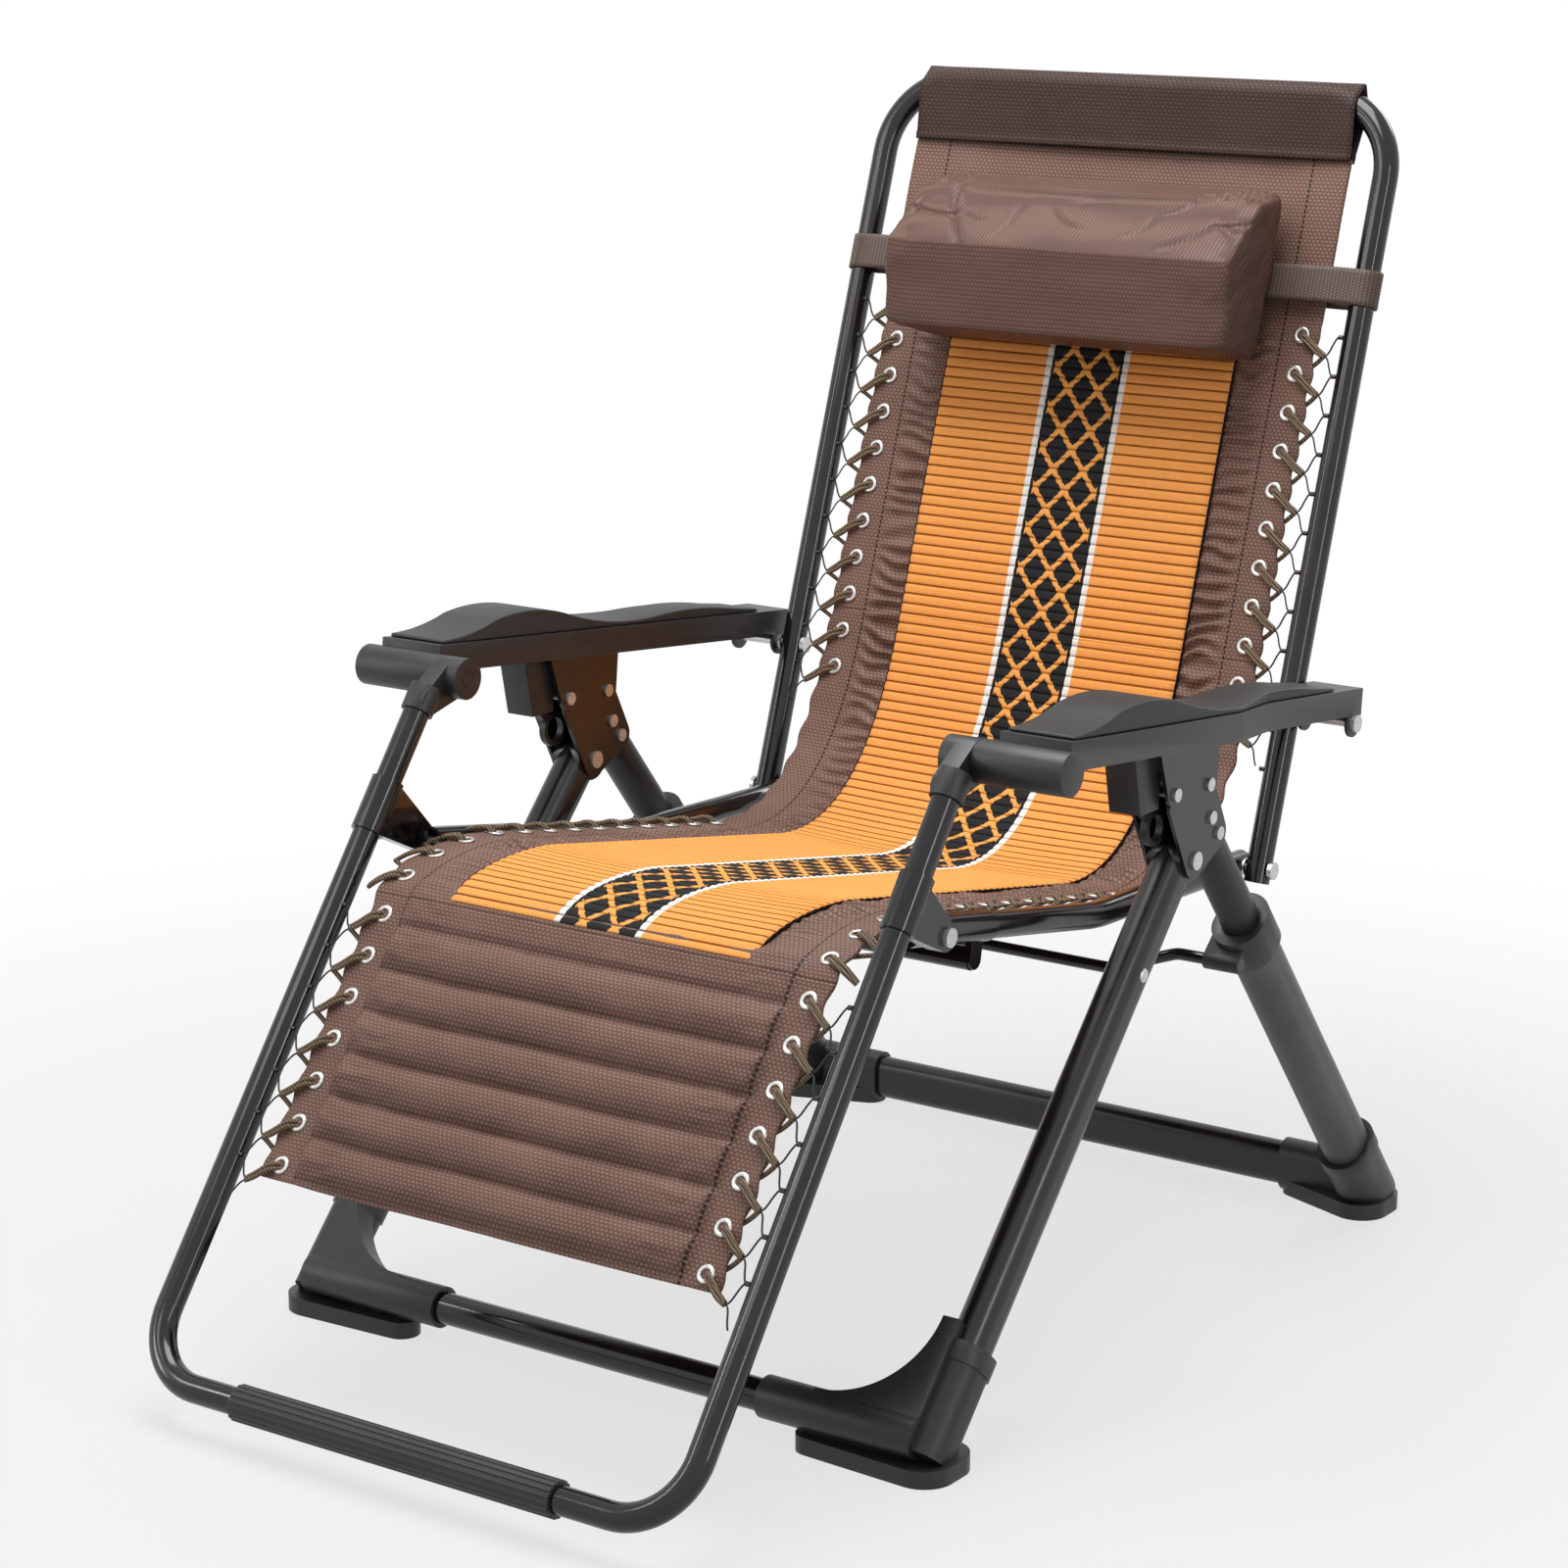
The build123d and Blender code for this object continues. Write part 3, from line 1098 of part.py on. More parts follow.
with BuildPart() as legrest_string:
    leg_turn = string_turn(leg_eyelet_pitch)
    lace(leg_plane.offset(lace_high),
         zigzag(leg_eyelet_low, leg_eyelets, leg_eyelet_pitch, string_out, leg_turn), string_bend, string_d)
legrest_string.part.label = "legrest_string"
export_step(legrest_string.part, "parts/legrest_string.step")
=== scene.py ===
import json
import logging
import math
from dataclasses import dataclass, field
from enum import Enum
from typing import Callable

import bpy
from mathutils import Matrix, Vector, noise

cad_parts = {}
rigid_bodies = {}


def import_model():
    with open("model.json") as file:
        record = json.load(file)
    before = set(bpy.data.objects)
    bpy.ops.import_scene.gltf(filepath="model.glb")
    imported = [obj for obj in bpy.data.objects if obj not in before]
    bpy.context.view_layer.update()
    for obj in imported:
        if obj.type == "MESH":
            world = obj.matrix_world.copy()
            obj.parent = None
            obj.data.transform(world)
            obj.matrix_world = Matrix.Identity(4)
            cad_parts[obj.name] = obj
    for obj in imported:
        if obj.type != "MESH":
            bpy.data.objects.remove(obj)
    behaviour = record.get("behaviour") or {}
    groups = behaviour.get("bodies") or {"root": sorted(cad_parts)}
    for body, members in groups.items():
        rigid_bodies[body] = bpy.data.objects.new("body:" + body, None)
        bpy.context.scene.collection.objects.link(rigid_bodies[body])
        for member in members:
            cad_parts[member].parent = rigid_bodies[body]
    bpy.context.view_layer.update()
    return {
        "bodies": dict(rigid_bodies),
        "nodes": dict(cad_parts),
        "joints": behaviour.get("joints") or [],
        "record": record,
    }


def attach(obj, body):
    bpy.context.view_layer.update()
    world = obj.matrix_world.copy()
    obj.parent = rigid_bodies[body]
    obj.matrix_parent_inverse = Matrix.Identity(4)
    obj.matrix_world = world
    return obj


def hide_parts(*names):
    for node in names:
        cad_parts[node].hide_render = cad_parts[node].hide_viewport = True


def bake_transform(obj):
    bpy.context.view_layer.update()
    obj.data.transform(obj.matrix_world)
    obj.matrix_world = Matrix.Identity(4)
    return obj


LOG = logging.getLogger("reclining_chair")
MM = 0.001
Colour = tuple[float, float, float]
Point = tuple[float, float]


class Side(Enum):
    """The two sides of the chair, by the sign of X."""

    LEFT = -1
    RIGHT = 1


class Run(Enum):
    """The runs of the sling from the head end to the foot end."""

    BACK = "back"
    TAIL = "tail"
    SEAT = "seat"
    KNEE = "knee"
    LEGREST = "legrest"


def deselect() -> None:
    """Leaves nothing selected, in object mode."""
    if bpy.context.object and bpy.context.object.mode != "OBJECT":
        bpy.ops.object.mode_set(mode="OBJECT")
    bpy.ops.object.select_all(action="DESELECT")


def choose(piece: bpy.types.Object) -> None:
    """Makes one piece the only selected and active object."""
    deselect()
    piece.select_set(True)
    bpy.context.view_layer.objects.active = piece


def apply_modifiers(piece: bpy.types.Object) -> None:
    """Applies every modifier of a piece in order."""
    choose(piece)
    for modifier in list(piece.modifiers):
        bpy.ops.object.modifier_apply(modifier=modifier.name)


def smooth(piece: bpy.types.Object, degrees: float = 40.0) -> None:
    """Shades a piece smooth up to an angle."""
    choose(piece)
    bpy.ops.object.shade_smooth_by_angle(angle=math.radians(degrees))


def dress(piece: bpy.types.Object, material: bpy.types.Material) -> None:
    """Gives a piece one material."""
    piece.data.materials.clear()
    piece.data.materials.append(material)


def ease(value: float, low: float, high: float) -> float:
    """Smooth step from 0 at low to 1 at high."""
    t = min(1.0, max(0.0, (value - low) / (high - low)))
    return t * t * (3 - 2 * t)


@dataclass(frozen=True)
class Layout:
    """Side-view places of the frame, in metres, as in the construction."""

    stand: Point = (0.1015, 0.460)
    seat_rear: Point = (0.3110, 0.335)
    seat_front: Point = (-0.1830, 0.391)
    rail_bend: Point = (0.0815, 0.343)
    leg_lean: float = math.radians(36.6)
    leg_offset: float = 0.018
    leg_length: float = 0.6146
    drum: Point = (-0.1405, 0.518)
    tube_x: float = 0.256
    tube_r: float = 0.011
    back_height: float = 0.666
    cloth_rise: float = 0.009

    def back(self, up: float, out: float = 0.0) -> Point:
        """A point on the back: up along it from the seat's rear pivot, out towards the sitter."""
        run, rise = 0.0425, 0.127
        length = math.hypot(run, rise)
        u = (run / length, rise / length)
        return (self.seat_rear[0] + u[0] * up - u[1] * out, self.seat_rear[1] + u[1] * up + u[0] * out)

    def seat(self, along: float, out: float = 0.0) -> Point:
        """A point over the rails' front run: along it from the front pivot, out upwards."""
        run = self.rail_bend[0] - self.seat_front[0]
        rise = self.rail_bend[1] - self.seat_front[1]
        length = math.hypot(run, rise)
        u = (run / length, rise / length)
        return (self.seat_front[0] + u[0] * along - u[1] * out, self.seat_front[1] + u[1] * along + u[0] * out)

    def leg(self, up: float, out: float = 0.0) -> Point:
        """A point on the legrest: up along it from its bottom bar, out towards the front."""
        u = (math.sin(self.leg_lean), math.cos(self.leg_lean))
        top = (self.drum[0] - self.leg_offset * u[1], self.drum[1] + self.leg_offset * u[0])
        low = (top[0] - self.leg_length * u[0], top[1] - self.leg_length * u[1])
        return (low[0] + u[0] * up - u[1] * out, low[1] + u[1] * up + u[0] * out)


@dataclass
class SlingLine:
    """The sling's line in the side view, by distance from its head end."""

    layout: Layout
    head: float = 0.612
    tail_start: float = 0.170
    seat_end: float = 0.350
    seat_start: float = 0.040
    leg_start: float = 0.416
    foot: float = 0.170
    step: float = 0.002
    points: list[Point] = field(default_factory=list)
    marks: dict[Run, tuple[float, float]] = field(default_factory=dict)
    lengths: list[float] = field(default_factory=list)

    def __post_init__(self) -> None:
        """Samples the runs and measures where each starts and ends."""
        lay = self.layout
        out = lay.cloth_rise
        step = self.step
        back = [lay.back(self.head - step * i) for i in range(int((self.head - self.tail_start) / step) + 1)]
        seat_rear, seat_fore = lay.seat(self.seat_end, out), lay.seat(self.seat_start, out)
        tail = self.bend(lay.back(self.tail_start), lay.back(self.tail_start - 0.110),
                         lay.seat(self.seat_end + 0.110, out - 0.004), seat_rear, 70)
        count = int((self.seat_end - self.seat_start) / step)
        seat = [lay.seat(self.seat_end - step * i, out) for i in range(count)]
        knee = self.bend(seat_fore, lay.seat(self.seat_start - 0.036, out), lay.leg(self.leg_start + 0.030),
                         lay.leg(self.leg_start), 50)
        leg = [lay.leg(self.leg_start - step * i) for i in range(int((self.leg_start - self.foot) / step) + 1)]
        total = 0.0
        for run, places in zip(Run, (back, tail, seat, knee, leg)):
            first = total
            for place in places:
                if self.points:
                    gap = math.dist(self.points[-1], place)
                    if gap < 1e-6:
                        continue
                    total += gap
                self.points.append(place)
                self.lengths.append(total)
            self.marks[run] = (first, total)

    @staticmethod
    def bend(p0: Point, p1: Point, p2: Point, p3: Point, count: int) -> list[Point]:
        """Points of a smooth bend between two runs.

        Args:
            p0, p1, p2, p3: the bend's ends and the two points that pull it.
            count: how many steps.

        Returns:
            The points from p0 to p3.
        """
        places = []
        for i in range(count + 1):
            t = i / count
            w = ((1 - t) ** 3, 3 * t * (1 - t) ** 2, 3 * t * t * (1 - t), t ** 3)
            places.append(tuple(sum(k * p[axis] for k, p in zip(w, (p0, p1, p2, p3))) for axis in (0, 1)))
        return places

    def at(self, s: float) -> tuple[Vector, Vector]:
        """The point and outward normal at a distance from the head end.

        Args:
            s: distance along the sling, in metres.

        Returns:
            The point at X = 0 and the normal towards the sitter.
        """
        low, high = 0, len(self.lengths) - 1
        while high - low > 1:
            middle = (low + high) // 2
            if self.lengths[middle] <= s:
                low = middle
            else:
                high = middle
        share = (s - self.lengths[low]) / (self.lengths[high] - self.lengths[low])
        a, b = self.points[low], self.points[high]
        before, after = self.points[max(0, low - 2)], self.points[min(len(self.points) - 1, high + 2)]
        way = Vector((0, after[0] - before[0], after[1] - before[1])).normalized()
        place = Vector((0, a[0] + (b[0] - a[0]) * share, a[1] + (b[1] - a[1]) * share))
        return place, Vector((0, way.z, -way.y))


class Bench:
    """A small helper that adds and links the nodes of one tree."""

    def __init__(self, tree: bpy.types.NodeTree) -> None:
        """Takes the tree to work on."""
        self.tree = tree

    def add(self, kind: str, values: dict | None = None, **settings) -> bpy.types.Node:
        """Adds a node.

        Args:
            kind: the node's type name.
            values: input socket name or index to a value or an output socket.
            settings: properties of the node.

        Returns:
            The new node.
        """
        node = self.tree.nodes.new(kind)
        for name, value in settings.items():
            setattr(node, name, value)
        for name, value in (values or {}).items():
            self.feed(node.inputs[name], value)
        return node

    def feed(self, socket: bpy.types.NodeSocket, value) -> None:
        """Links an output to a socket, or sets its value."""
        if isinstance(value, bpy.types.NodeSocket):
            self.tree.links.new(value, socket)
        elif isinstance(value, tuple) and len(value) == 3 and socket.type == "RGBA":
            socket.default_value = (*value, 1.0)
        else:
            socket.default_value = value

    def math(self, operation: str, *values, clamp: bool = False) -> bpy.types.NodeSocket:
        """One Math node's result."""
        node = self.add("ShaderNodeMath", dict(enumerate(values)), operation=operation, use_clamp=clamp)
        return node.outputs[0]

    def mix(self, share, low, high) -> bpy.types.NodeSocket:
        """A colour between two colours."""
        node = self.add("ShaderNodeMix", data_type="RGBA")
        self.feed(node.inputs[0], share)
        self.feed(node.inputs[6], low)
        self.feed(node.inputs[7], high)
        return node.outputs[2]

    def span(self, value, low: float, high: float, first: float = 0.0, last: float = 1.0) -> bpy.types.NodeSocket:
        """A value moved smoothly from one range to another."""
        node = self.add("ShaderNodeMapRange", {0: value, 1: low, 2: high, 3: first, 4: last},
                        interpolation_type="SMOOTHSTEP")
        return node.outputs[0]


def new_group(name: str, inputs: dict[str, str], outputs: dict[str, str]) -> tuple[bpy.types.NodeTree, Bench]:
    """A shader node group with named sockets.

    Args:
        name: the group's name.
        inputs: socket name to socket type.
        outputs: socket name to socket type.

    Returns:
        The group and a bench for its nodes.
    """
    tree = bpy.data.node_groups.new(name, "ShaderNodeTree")
    for way, sockets in (("INPUT", inputs), ("OUTPUT", outputs)):
        for label, kind in sockets.items():
            tree.interface.new_socket(name=label, in_out=way, socket_type=kind)
    return tree, Bench(tree)


def grain_group() -> bpy.types.NodeTree:
    """Fine surface grain: a speckle for bump and a slow drift for colour and gloss."""
    tree, bench = new_group("surface_grain", {"Vector": "NodeSocketVector", "Scale": "NodeSocketFloat"},
                            {"Speckle": "NodeSocketFloat", "Drift": "NodeSocketFloat"})
    start, end = bench.add("NodeGroupInput"), bench.add("NodeGroupOutput")
    fine = bench.add("ShaderNodeTexNoise", {"Vector": start.outputs[0], "Scale": start.outputs[1], "Detail": 3.0})
    slow = bench.add("ShaderNodeTexNoise", {"Vector": start.outputs[0], "Scale": 14.0, "Detail": 2.0})
    bench.feed(end.inputs[0], fine.outputs[0])
    bench.feed(end.inputs[1], slow.outputs[0])
    return tree


def weave_group() -> bpy.types.NodeTree:
    """A plain weave: short dashes in rows, every other row moved by half a dash."""
    tree, bench = new_group("thread_weave", {"Vector": "NodeSocketVector", "Dash": "NodeSocketFloat",
                                             "Row": "NodeSocketFloat"},
                            {"Height": "NodeSocketFloat", "Shade": "NodeSocketFloat"})
    start, end = bench.add("NodeGroupInput"), bench.add("NodeGroupOutput")
    parts = bench.add("ShaderNodeSeparateXYZ", {0: start.outputs[0]})
    row = bench.math("DIVIDE", parts.outputs[1], start.outputs[2])
    odd = bench.math("MODULO", bench.math("FLOOR", row), 2.0)
    dash = bench.math("ADD", bench.math("DIVIDE", parts.outputs[0], start.outputs[1]),
                      bench.math("MULTIPLY", odd, 0.5))
    across = bench.math("ABSOLUTE", bench.math("SINE", bench.math("MULTIPLY", dash, math.pi)))
    along = bench.math("ABSOLUTE", bench.math("SINE", bench.math("MULTIPLY", row, math.pi)))
    height = bench.math("MULTIPLY", across, along)
    bench.feed(end.inputs[0], height)
    bench.feed(end.inputs[1], bench.span(height, 0.15, 0.85))
    return tree


def stitch_group() -> bpy.types.NodeTree:
    """A dashed line of stitches along V, at one distance either side of the middle."""
    tree, bench = new_group("stitch_line", {"Vector": "NodeSocketVector", "Place": "NodeSocketFloat",
                                            "Length": "NodeSocketFloat"}, {"Mask": "NodeSocketFloat"})
    start, end = bench.add("NodeGroupInput"), bench.add("NodeGroupOutput")
    parts = bench.add("ShaderNodeSeparateXYZ", {0: start.outputs[0]})
    off = bench.math("ABSOLUTE", bench.math("SUBTRACT", bench.math("ABSOLUTE", parts.outputs[0]), start.outputs[1]))
    line = bench.span(off, 0.0013, 0.0006)
    turn = bench.math("FRACT", bench.math("DIVIDE", parts.outputs[1], start.outputs[2]))
    dash = bench.math("LESS_THAN", turn, 0.68)
    bench.feed(end.inputs[0], bench.math("MULTIPLY", line, dash))
    return tree


@dataclass
class Finishes:
    """The chair's materials, each built once."""

    made: dict[str, bpy.types.Material] = field(default_factory=dict)
    groups: dict[str, bpy.types.NodeTree] = field(default_factory=dict)

    def __post_init__(self) -> None:
        """Builds the shared groups, then every material."""
        self.groups = {"grain": grain_group(), "weave": weave_group(), "stitch": stitch_group()}
        for finish in (Enamel("tube_enamel", (0.0062, 0.0046, 0.0046), 0.11, 0.48),
                       Enamel("leg_enamel", (0.0085, 0.0066, 0.0064), 0.20, 0.50),
                       Enamel("rear_leg_grey", (0.075, 0.076, 0.080), 0.38, 0.35),
                       Enamel("rear_leg_dark", (0.014, 0.013, 0.014), 0.34, 0.30),
                       Moulding("moulded_black", (0.009, 0.009, 0.010), 0.38, 900.0, 0.10),
                       Moulding("pad_black", (0.008, 0.0084, 0.0092), 0.50, 1500.0, 0.22),
                       Moulding("grip_black", (0.018, 0.018, 0.020), 0.46, 1200.0, 0.12),
                       Plating("zinc_plate", (0.62, 0.62, 0.63), 0.33),
                       Plating("eyelet_nickel", (0.60, 0.60, 0.58), 0.30),
                       Cloth("sling_cloth", (0.118, 0.063, 0.047), (0.260, 0.150, 0.114), 0.0042, 0.0032, 0.186),
                       Cloth("pocket_cloth", (0.024, 0.012, 0.0095), (0.062, 0.033, 0.026), 0.0048, 0.0034, 0.0,
                             0.0082),
                       Cloth("pillow_cloth", (0.088, 0.046, 0.035), (0.150, 0.084, 0.064), 0.0036, 0.0036, 0.0, 0.0,
                             True),
                       Cloth("strap_web", (0.080, 0.056, 0.048), (0.165, 0.120, 0.104), 0.0026, 0.0034, 0.0),
                       Mat("woven_mat"),
                       Braid("lace_braid", (0.060, 0.036, 0.018), (0.230, 0.160, 0.095)),
                       Braid("string_black", (0.006, 0.006, 0.006), (0.020, 0.019, 0.018))):
            self.made[finish.name] = finish.build(self.groups)

    def __getitem__(self, name: str) -> bpy.types.Material:
        """A material by its finish's name."""
        return self.made[name]


def start_material(name: str) -> tuple[bpy.types.Material, Bench, bpy.types.Node]:
    """A new node material.

    Args:
        name: the material's name.

    Returns:
        The material, its bench and its Principled node.
    """
    material = bpy.data.materials.new(name)
    material.use_nodes = True
    return material, Bench(material.node_tree), material.node_tree.nodes["Principled BSDF"]


@dataclass(frozen=True)
class Enamel:
    """Baked paint on tube: smooth, with a faint orange peel and a slow change of gloss."""

    name: str
    colour: Colour
    rough: float
    gloss: float

    def build(self, groups: dict[str, bpy.types.NodeTree]) -> bpy.types.Material:
        """The material of this paint."""
        material, bench, shader = start_material(self.name)
        where = bench.add("ShaderNodeTexCoord").outputs["Object"]
        grain = bench.add("ShaderNodeGroup", node_tree=groups["grain"])
        bench.feed(grain.inputs[0], where)
        bench.feed(grain.inputs[1], 420.0)
        light = tuple(min(1.0, c * 1.5 + 0.002) for c in self.colour)
        shade = bench.mix(bench.span(grain.outputs[1], 0.3, 0.75), self.colour, light)
        bench.feed(shader.inputs["Base Color"], shade)
        bench.feed(shader.inputs["Roughness"], bench.span(grain.outputs[1], 0.3, 0.75, self.rough, self.rough + 0.10))
        bump = bench.add("ShaderNodeBump", {"Height": grain.outputs[0], "Strength": 0.05, "Distance": 0.0004})
        bench.feed(shader.inputs["Normal"], bump.outputs[0])
        shader.inputs["Specular IOR Level"].default_value = self.gloss
        return material


@dataclass(frozen=True)
class Moulding:
    """Moulded plastic or soft pad: a fine pebble grain, paler where it drifts."""

    name: str
    colour: Colour
    rough: float
    scale: float
    depth: float

    def build(self, groups: dict[str, bpy.types.NodeTree]) -> bpy.types.Material:
        """The material of this moulding."""
        material, bench, shader = start_material(self.name)
        where = bench.add("ShaderNodeTexCoord").outputs["Object"]
        grain = bench.add("ShaderNodeGroup", node_tree=groups["grain"])
        bench.feed(grain.inputs[0], where)
        bench.feed(grain.inputs[1], self.scale)
        light = tuple(c * 1.7 + 0.004 for c in self.colour)
        shade = bench.math("MULTIPLY", bench.span(grain.outputs[0], 0.3, 0.7), bench.span(grain.outputs[1], 0.2, 0.8))
        bench.feed(shader.inputs["Base Color"], bench.mix(shade, self.colour, light))
        bench.feed(shader.inputs["Roughness"], bench.span(grain.outputs[0], 0.3, 0.7, self.rough, self.rough + 0.12))
        bump = bench.add("ShaderNodeBump", {"Height": grain.outputs[0], "Strength": self.depth, "Distance": 0.0006})
        bench.feed(shader.inputs["Normal"], bump.outputs[0])
        return material


@dataclass(frozen=True)
class Plating:
    """Plated metal with fine handling marks."""

    name: str
    colour: Colour
    rough: float

    def build(self, groups: dict[str, bpy.types.NodeTree]) -> bpy.types.Material:
        """The material of this plating."""
        material, bench, shader = start_material(self.name)
        where = bench.add("ShaderNodeTexCoord").outputs["Object"]
        grain = bench.add("ShaderNodeGroup", node_tree=groups["grain"])
        bench.feed(grain.inputs[0], where)
        bench.feed(grain.inputs[1], 650.0)
        dark = tuple(c * 0.72 for c in self.colour)
        shade = bench.mix(bench.span(grain.outputs[0], 0.35, 0.65), dark, self.colour)
        bench.feed(shader.inputs["Base Color"], shade)
        bench.feed(shader.inputs["Roughness"], bench.span(grain.outputs[1], 0.3, 0.7, self.rough, self.rough + 0.15))
        shader.inputs["Metallic"].default_value = 1.0
        bump = bench.add("ShaderNodeBump", {"Height": grain.outputs[0], "Strength": 0.08, "Distance": 0.0003})
        bench.feed(shader.inputs["Normal"], bump.outputs[0])
        return material


@dataclass(frozen=True)
class Cloth:
    """Woven synthetic cloth: dashes in rows, drift of tone, and a line of stitches where it has a hem."""

    name: str
    dark: Colour
    light: Colour
    dash: float
    row: float
    stitch: float
    hem: float = 0.0
    solid: bool = False

    def build(self, groups: dict[str, bpy.types.NodeTree]) -> bpy.types.Material:
        """The material of this cloth."""
        material, bench, shader = start_material(self.name)
        where = bench.add("ShaderNodeTexCoord").outputs["Object"]
        lie = where if self.solid else bench.add("ShaderNodeUVMap", uv_map="cloth").outputs[0]
        if self.solid:
            parts = bench.add("ShaderNodeSeparateXYZ", {0: where})
            tall = bench.math("SUBTRACT", parts.outputs[2], bench.math("MULTIPLY", parts.outputs[1], 0.8))
            lie = bench.add("ShaderNodeCombineXYZ", {0: parts.outputs[0], 1: tall}).outputs[0]
        weave = bench.add("ShaderNodeGroup", node_tree=groups["weave"])
        for index, value in enumerate((lie, self.dash, self.row)):
            bench.feed(weave.inputs[index], value)
        grain = bench.add("ShaderNodeGroup", node_tree=groups["grain"])
        bench.feed(grain.inputs[0], where)
        bench.feed(grain.inputs[1], 60.0)
        tone = bench.math("MULTIPLY_ADD", grain.outputs[1], 0.5, bench.math("MULTIPLY", weave.outputs[1], 0.55))
        colour = bench.mix(bench.span(tone, 0.15, 0.85), self.dark, self.light)
        if self.stitch or self.hem:
            line = lie
            if self.hem:
                turned = bench.add("ShaderNodeSeparateXYZ", {0: lie})
                line = bench.add("ShaderNodeCombineXYZ", {0: turned.outputs[1], 1: turned.outputs[0]}).outputs[0]
            seam = bench.add("ShaderNodeGroup", node_tree=groups["stitch"])
            for index, value in enumerate((line, self.stitch or self.hem, 0.0045)):
                bench.feed(seam.inputs[index], value)
            colour = bench.mix(seam.outputs[0], colour, (0.018, 0.010, 0.008))
        bench.feed(shader.inputs["Base Color"], colour)
        bench.feed(shader.inputs["Roughness"], bench.span(weave.outputs[0], 0.0, 1.0, 0.60, 0.44))
        bump = bench.add("ShaderNodeBump", {"Height": weave.outputs[0], "Strength": 0.30, "Distance": 0.0005})
        bench.feed(shader.inputs["Normal"], bump.outputs[0])
        shader.inputs["Specular IOR Level"].default_value = 0.22
        return material


